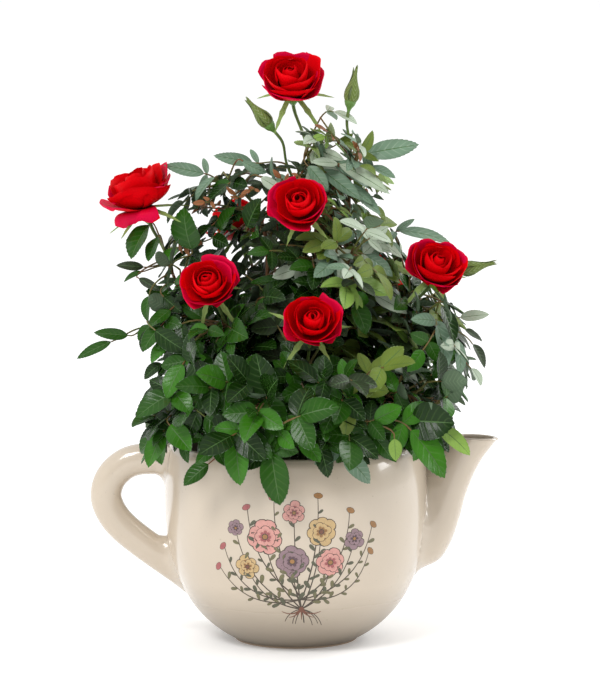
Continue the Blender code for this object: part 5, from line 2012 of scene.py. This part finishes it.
class ROSE_OT_stage(bpy.types.Operator):
    """Sets the pale floor, the soft studio light and the camera"""

    bl_idname = "rose.stage"
    bl_label = "Stage"

    def execute(self, context):
        settings = context.scene.rose_stage
        floor = mesh_piece("floor", (circle(64, 24, -0.2 * MM), [range(64)]), [floor_finish()], sharp=0)
        world = bpy.data.worlds.new("studio")
        world.use_nodes = True
        tree = world.node_tree
        way = add_node(tree, "ShaderNodeTexCoord").outputs["Generated"]
        aside = add_node(tree, "ShaderNodeVectorMath", {"operation": "DOT_PRODUCT"}, {0: way, 1: DARK_SIDE})
        dimmer = add_node(tree, "ShaderNodeValToRGB", {"stops": SKY}, {0: aside.outputs["Value"]})
        feed(tree.nodes["Background"].inputs["Color"], dimmer.outputs[0])
        feed(tree.nodes["Background"].inputs["Strength"], 1.0)
        context.scene.world = world
        for name, place, size, share in LAMPS:
            lamp = bpy.data.lights.new(name, "AREA")
            lamp.size = size
            lamp.energy = settings.key * share
            aim(placed(name, lamp), Vector(place), LAMP_TARGET - Vector(place))
        data = bpy.data.cameras.new("camera")
        data.sensor_width = 36
        data.lens = 36 * settings.distance / FRAME_HEIGHT
        data.clip_end = 100
        back = Vector((0, -math.cos(settings.elevation), math.sin(settings.elevation)))
        context.scene.camera = placed("camera", data)
        aim(context.scene.camera, VIEW_CENTRE + back * settings.distance, -back)
        context.scene.view_settings.view_transform = "Standard"
        return {"FINISHED"}


def floor_finish():
    """A matt white floor."""
    made = Finish("white floor", Specular_IOR_Level=0.0, Emission_Color=(1, 1, 1), Emission_Strength=0.16)
    made.coat(made.mix(made.noise(3, 2), (0.95, 0.95, 0.95), (0.97, 0.97, 0.97)), 1.0)
    return made.material


class ROSE_PT_panel(bpy.types.Panel):
    """Lists the steps that dress the rose bush"""

    bl_idname = "ROSE_PT_panel"
    bl_label = "Rose Bush"
    bl_space_type = "VIEW_3D"
    bl_region_type = "UI"
    bl_category = "Rose Bush"

    def draw(self, context):
        for group, _, operators in STEPS:
            box = self.layout.box()
            settings = getattr(context.scene, group)
            for name in settings.__annotations__:
                box.prop(settings, name)
            for operator in operators:
                box.operator(operator.bl_idname)


STEPS = (
    ("rose_planter", PlanterSettings, (ROSE_OT_planter, ROSE_OT_soil)),
    ("rose_shoots", ShootSettings, (ROSE_OT_shoots,)),
    ("rose_leaves", LeafSettings, (ROSE_OT_leaves,)),
    ("rose_blooms", BloomSettings, (ROSE_OT_blooms,)),
    ("rose_stage", StageSettings, (ROSE_OT_stage,)),
)
CLASSES = [kind for _, group, operators in STEPS for kind in (group, *operators)] + [ROSE_PT_panel]


def register():
    for kind in CLASSES:
        bpy.utils.register_class(kind)
    for name, group, _ in STEPS:
        setattr(bpy.types.Scene, name, bpy.props.PointerProperty(type=group))


def unregister():
    for name, _, _ in STEPS:
        delattr(bpy.types.Scene, name)
    for kind in reversed(CLASSES):
        bpy.utils.unregister_class(kind)


def main():
    """Runs every step of the add-on."""
    register()
    bpy.ops.rose.planter()
    bpy.ops.rose.soil()
    bpy.ops.rose.shoots()
    bpy.ops.rose.leaves()
    bpy.ops.rose.blooms()
    bpy.ops.rose.stage()


if __name__ == "__main__":
    main()
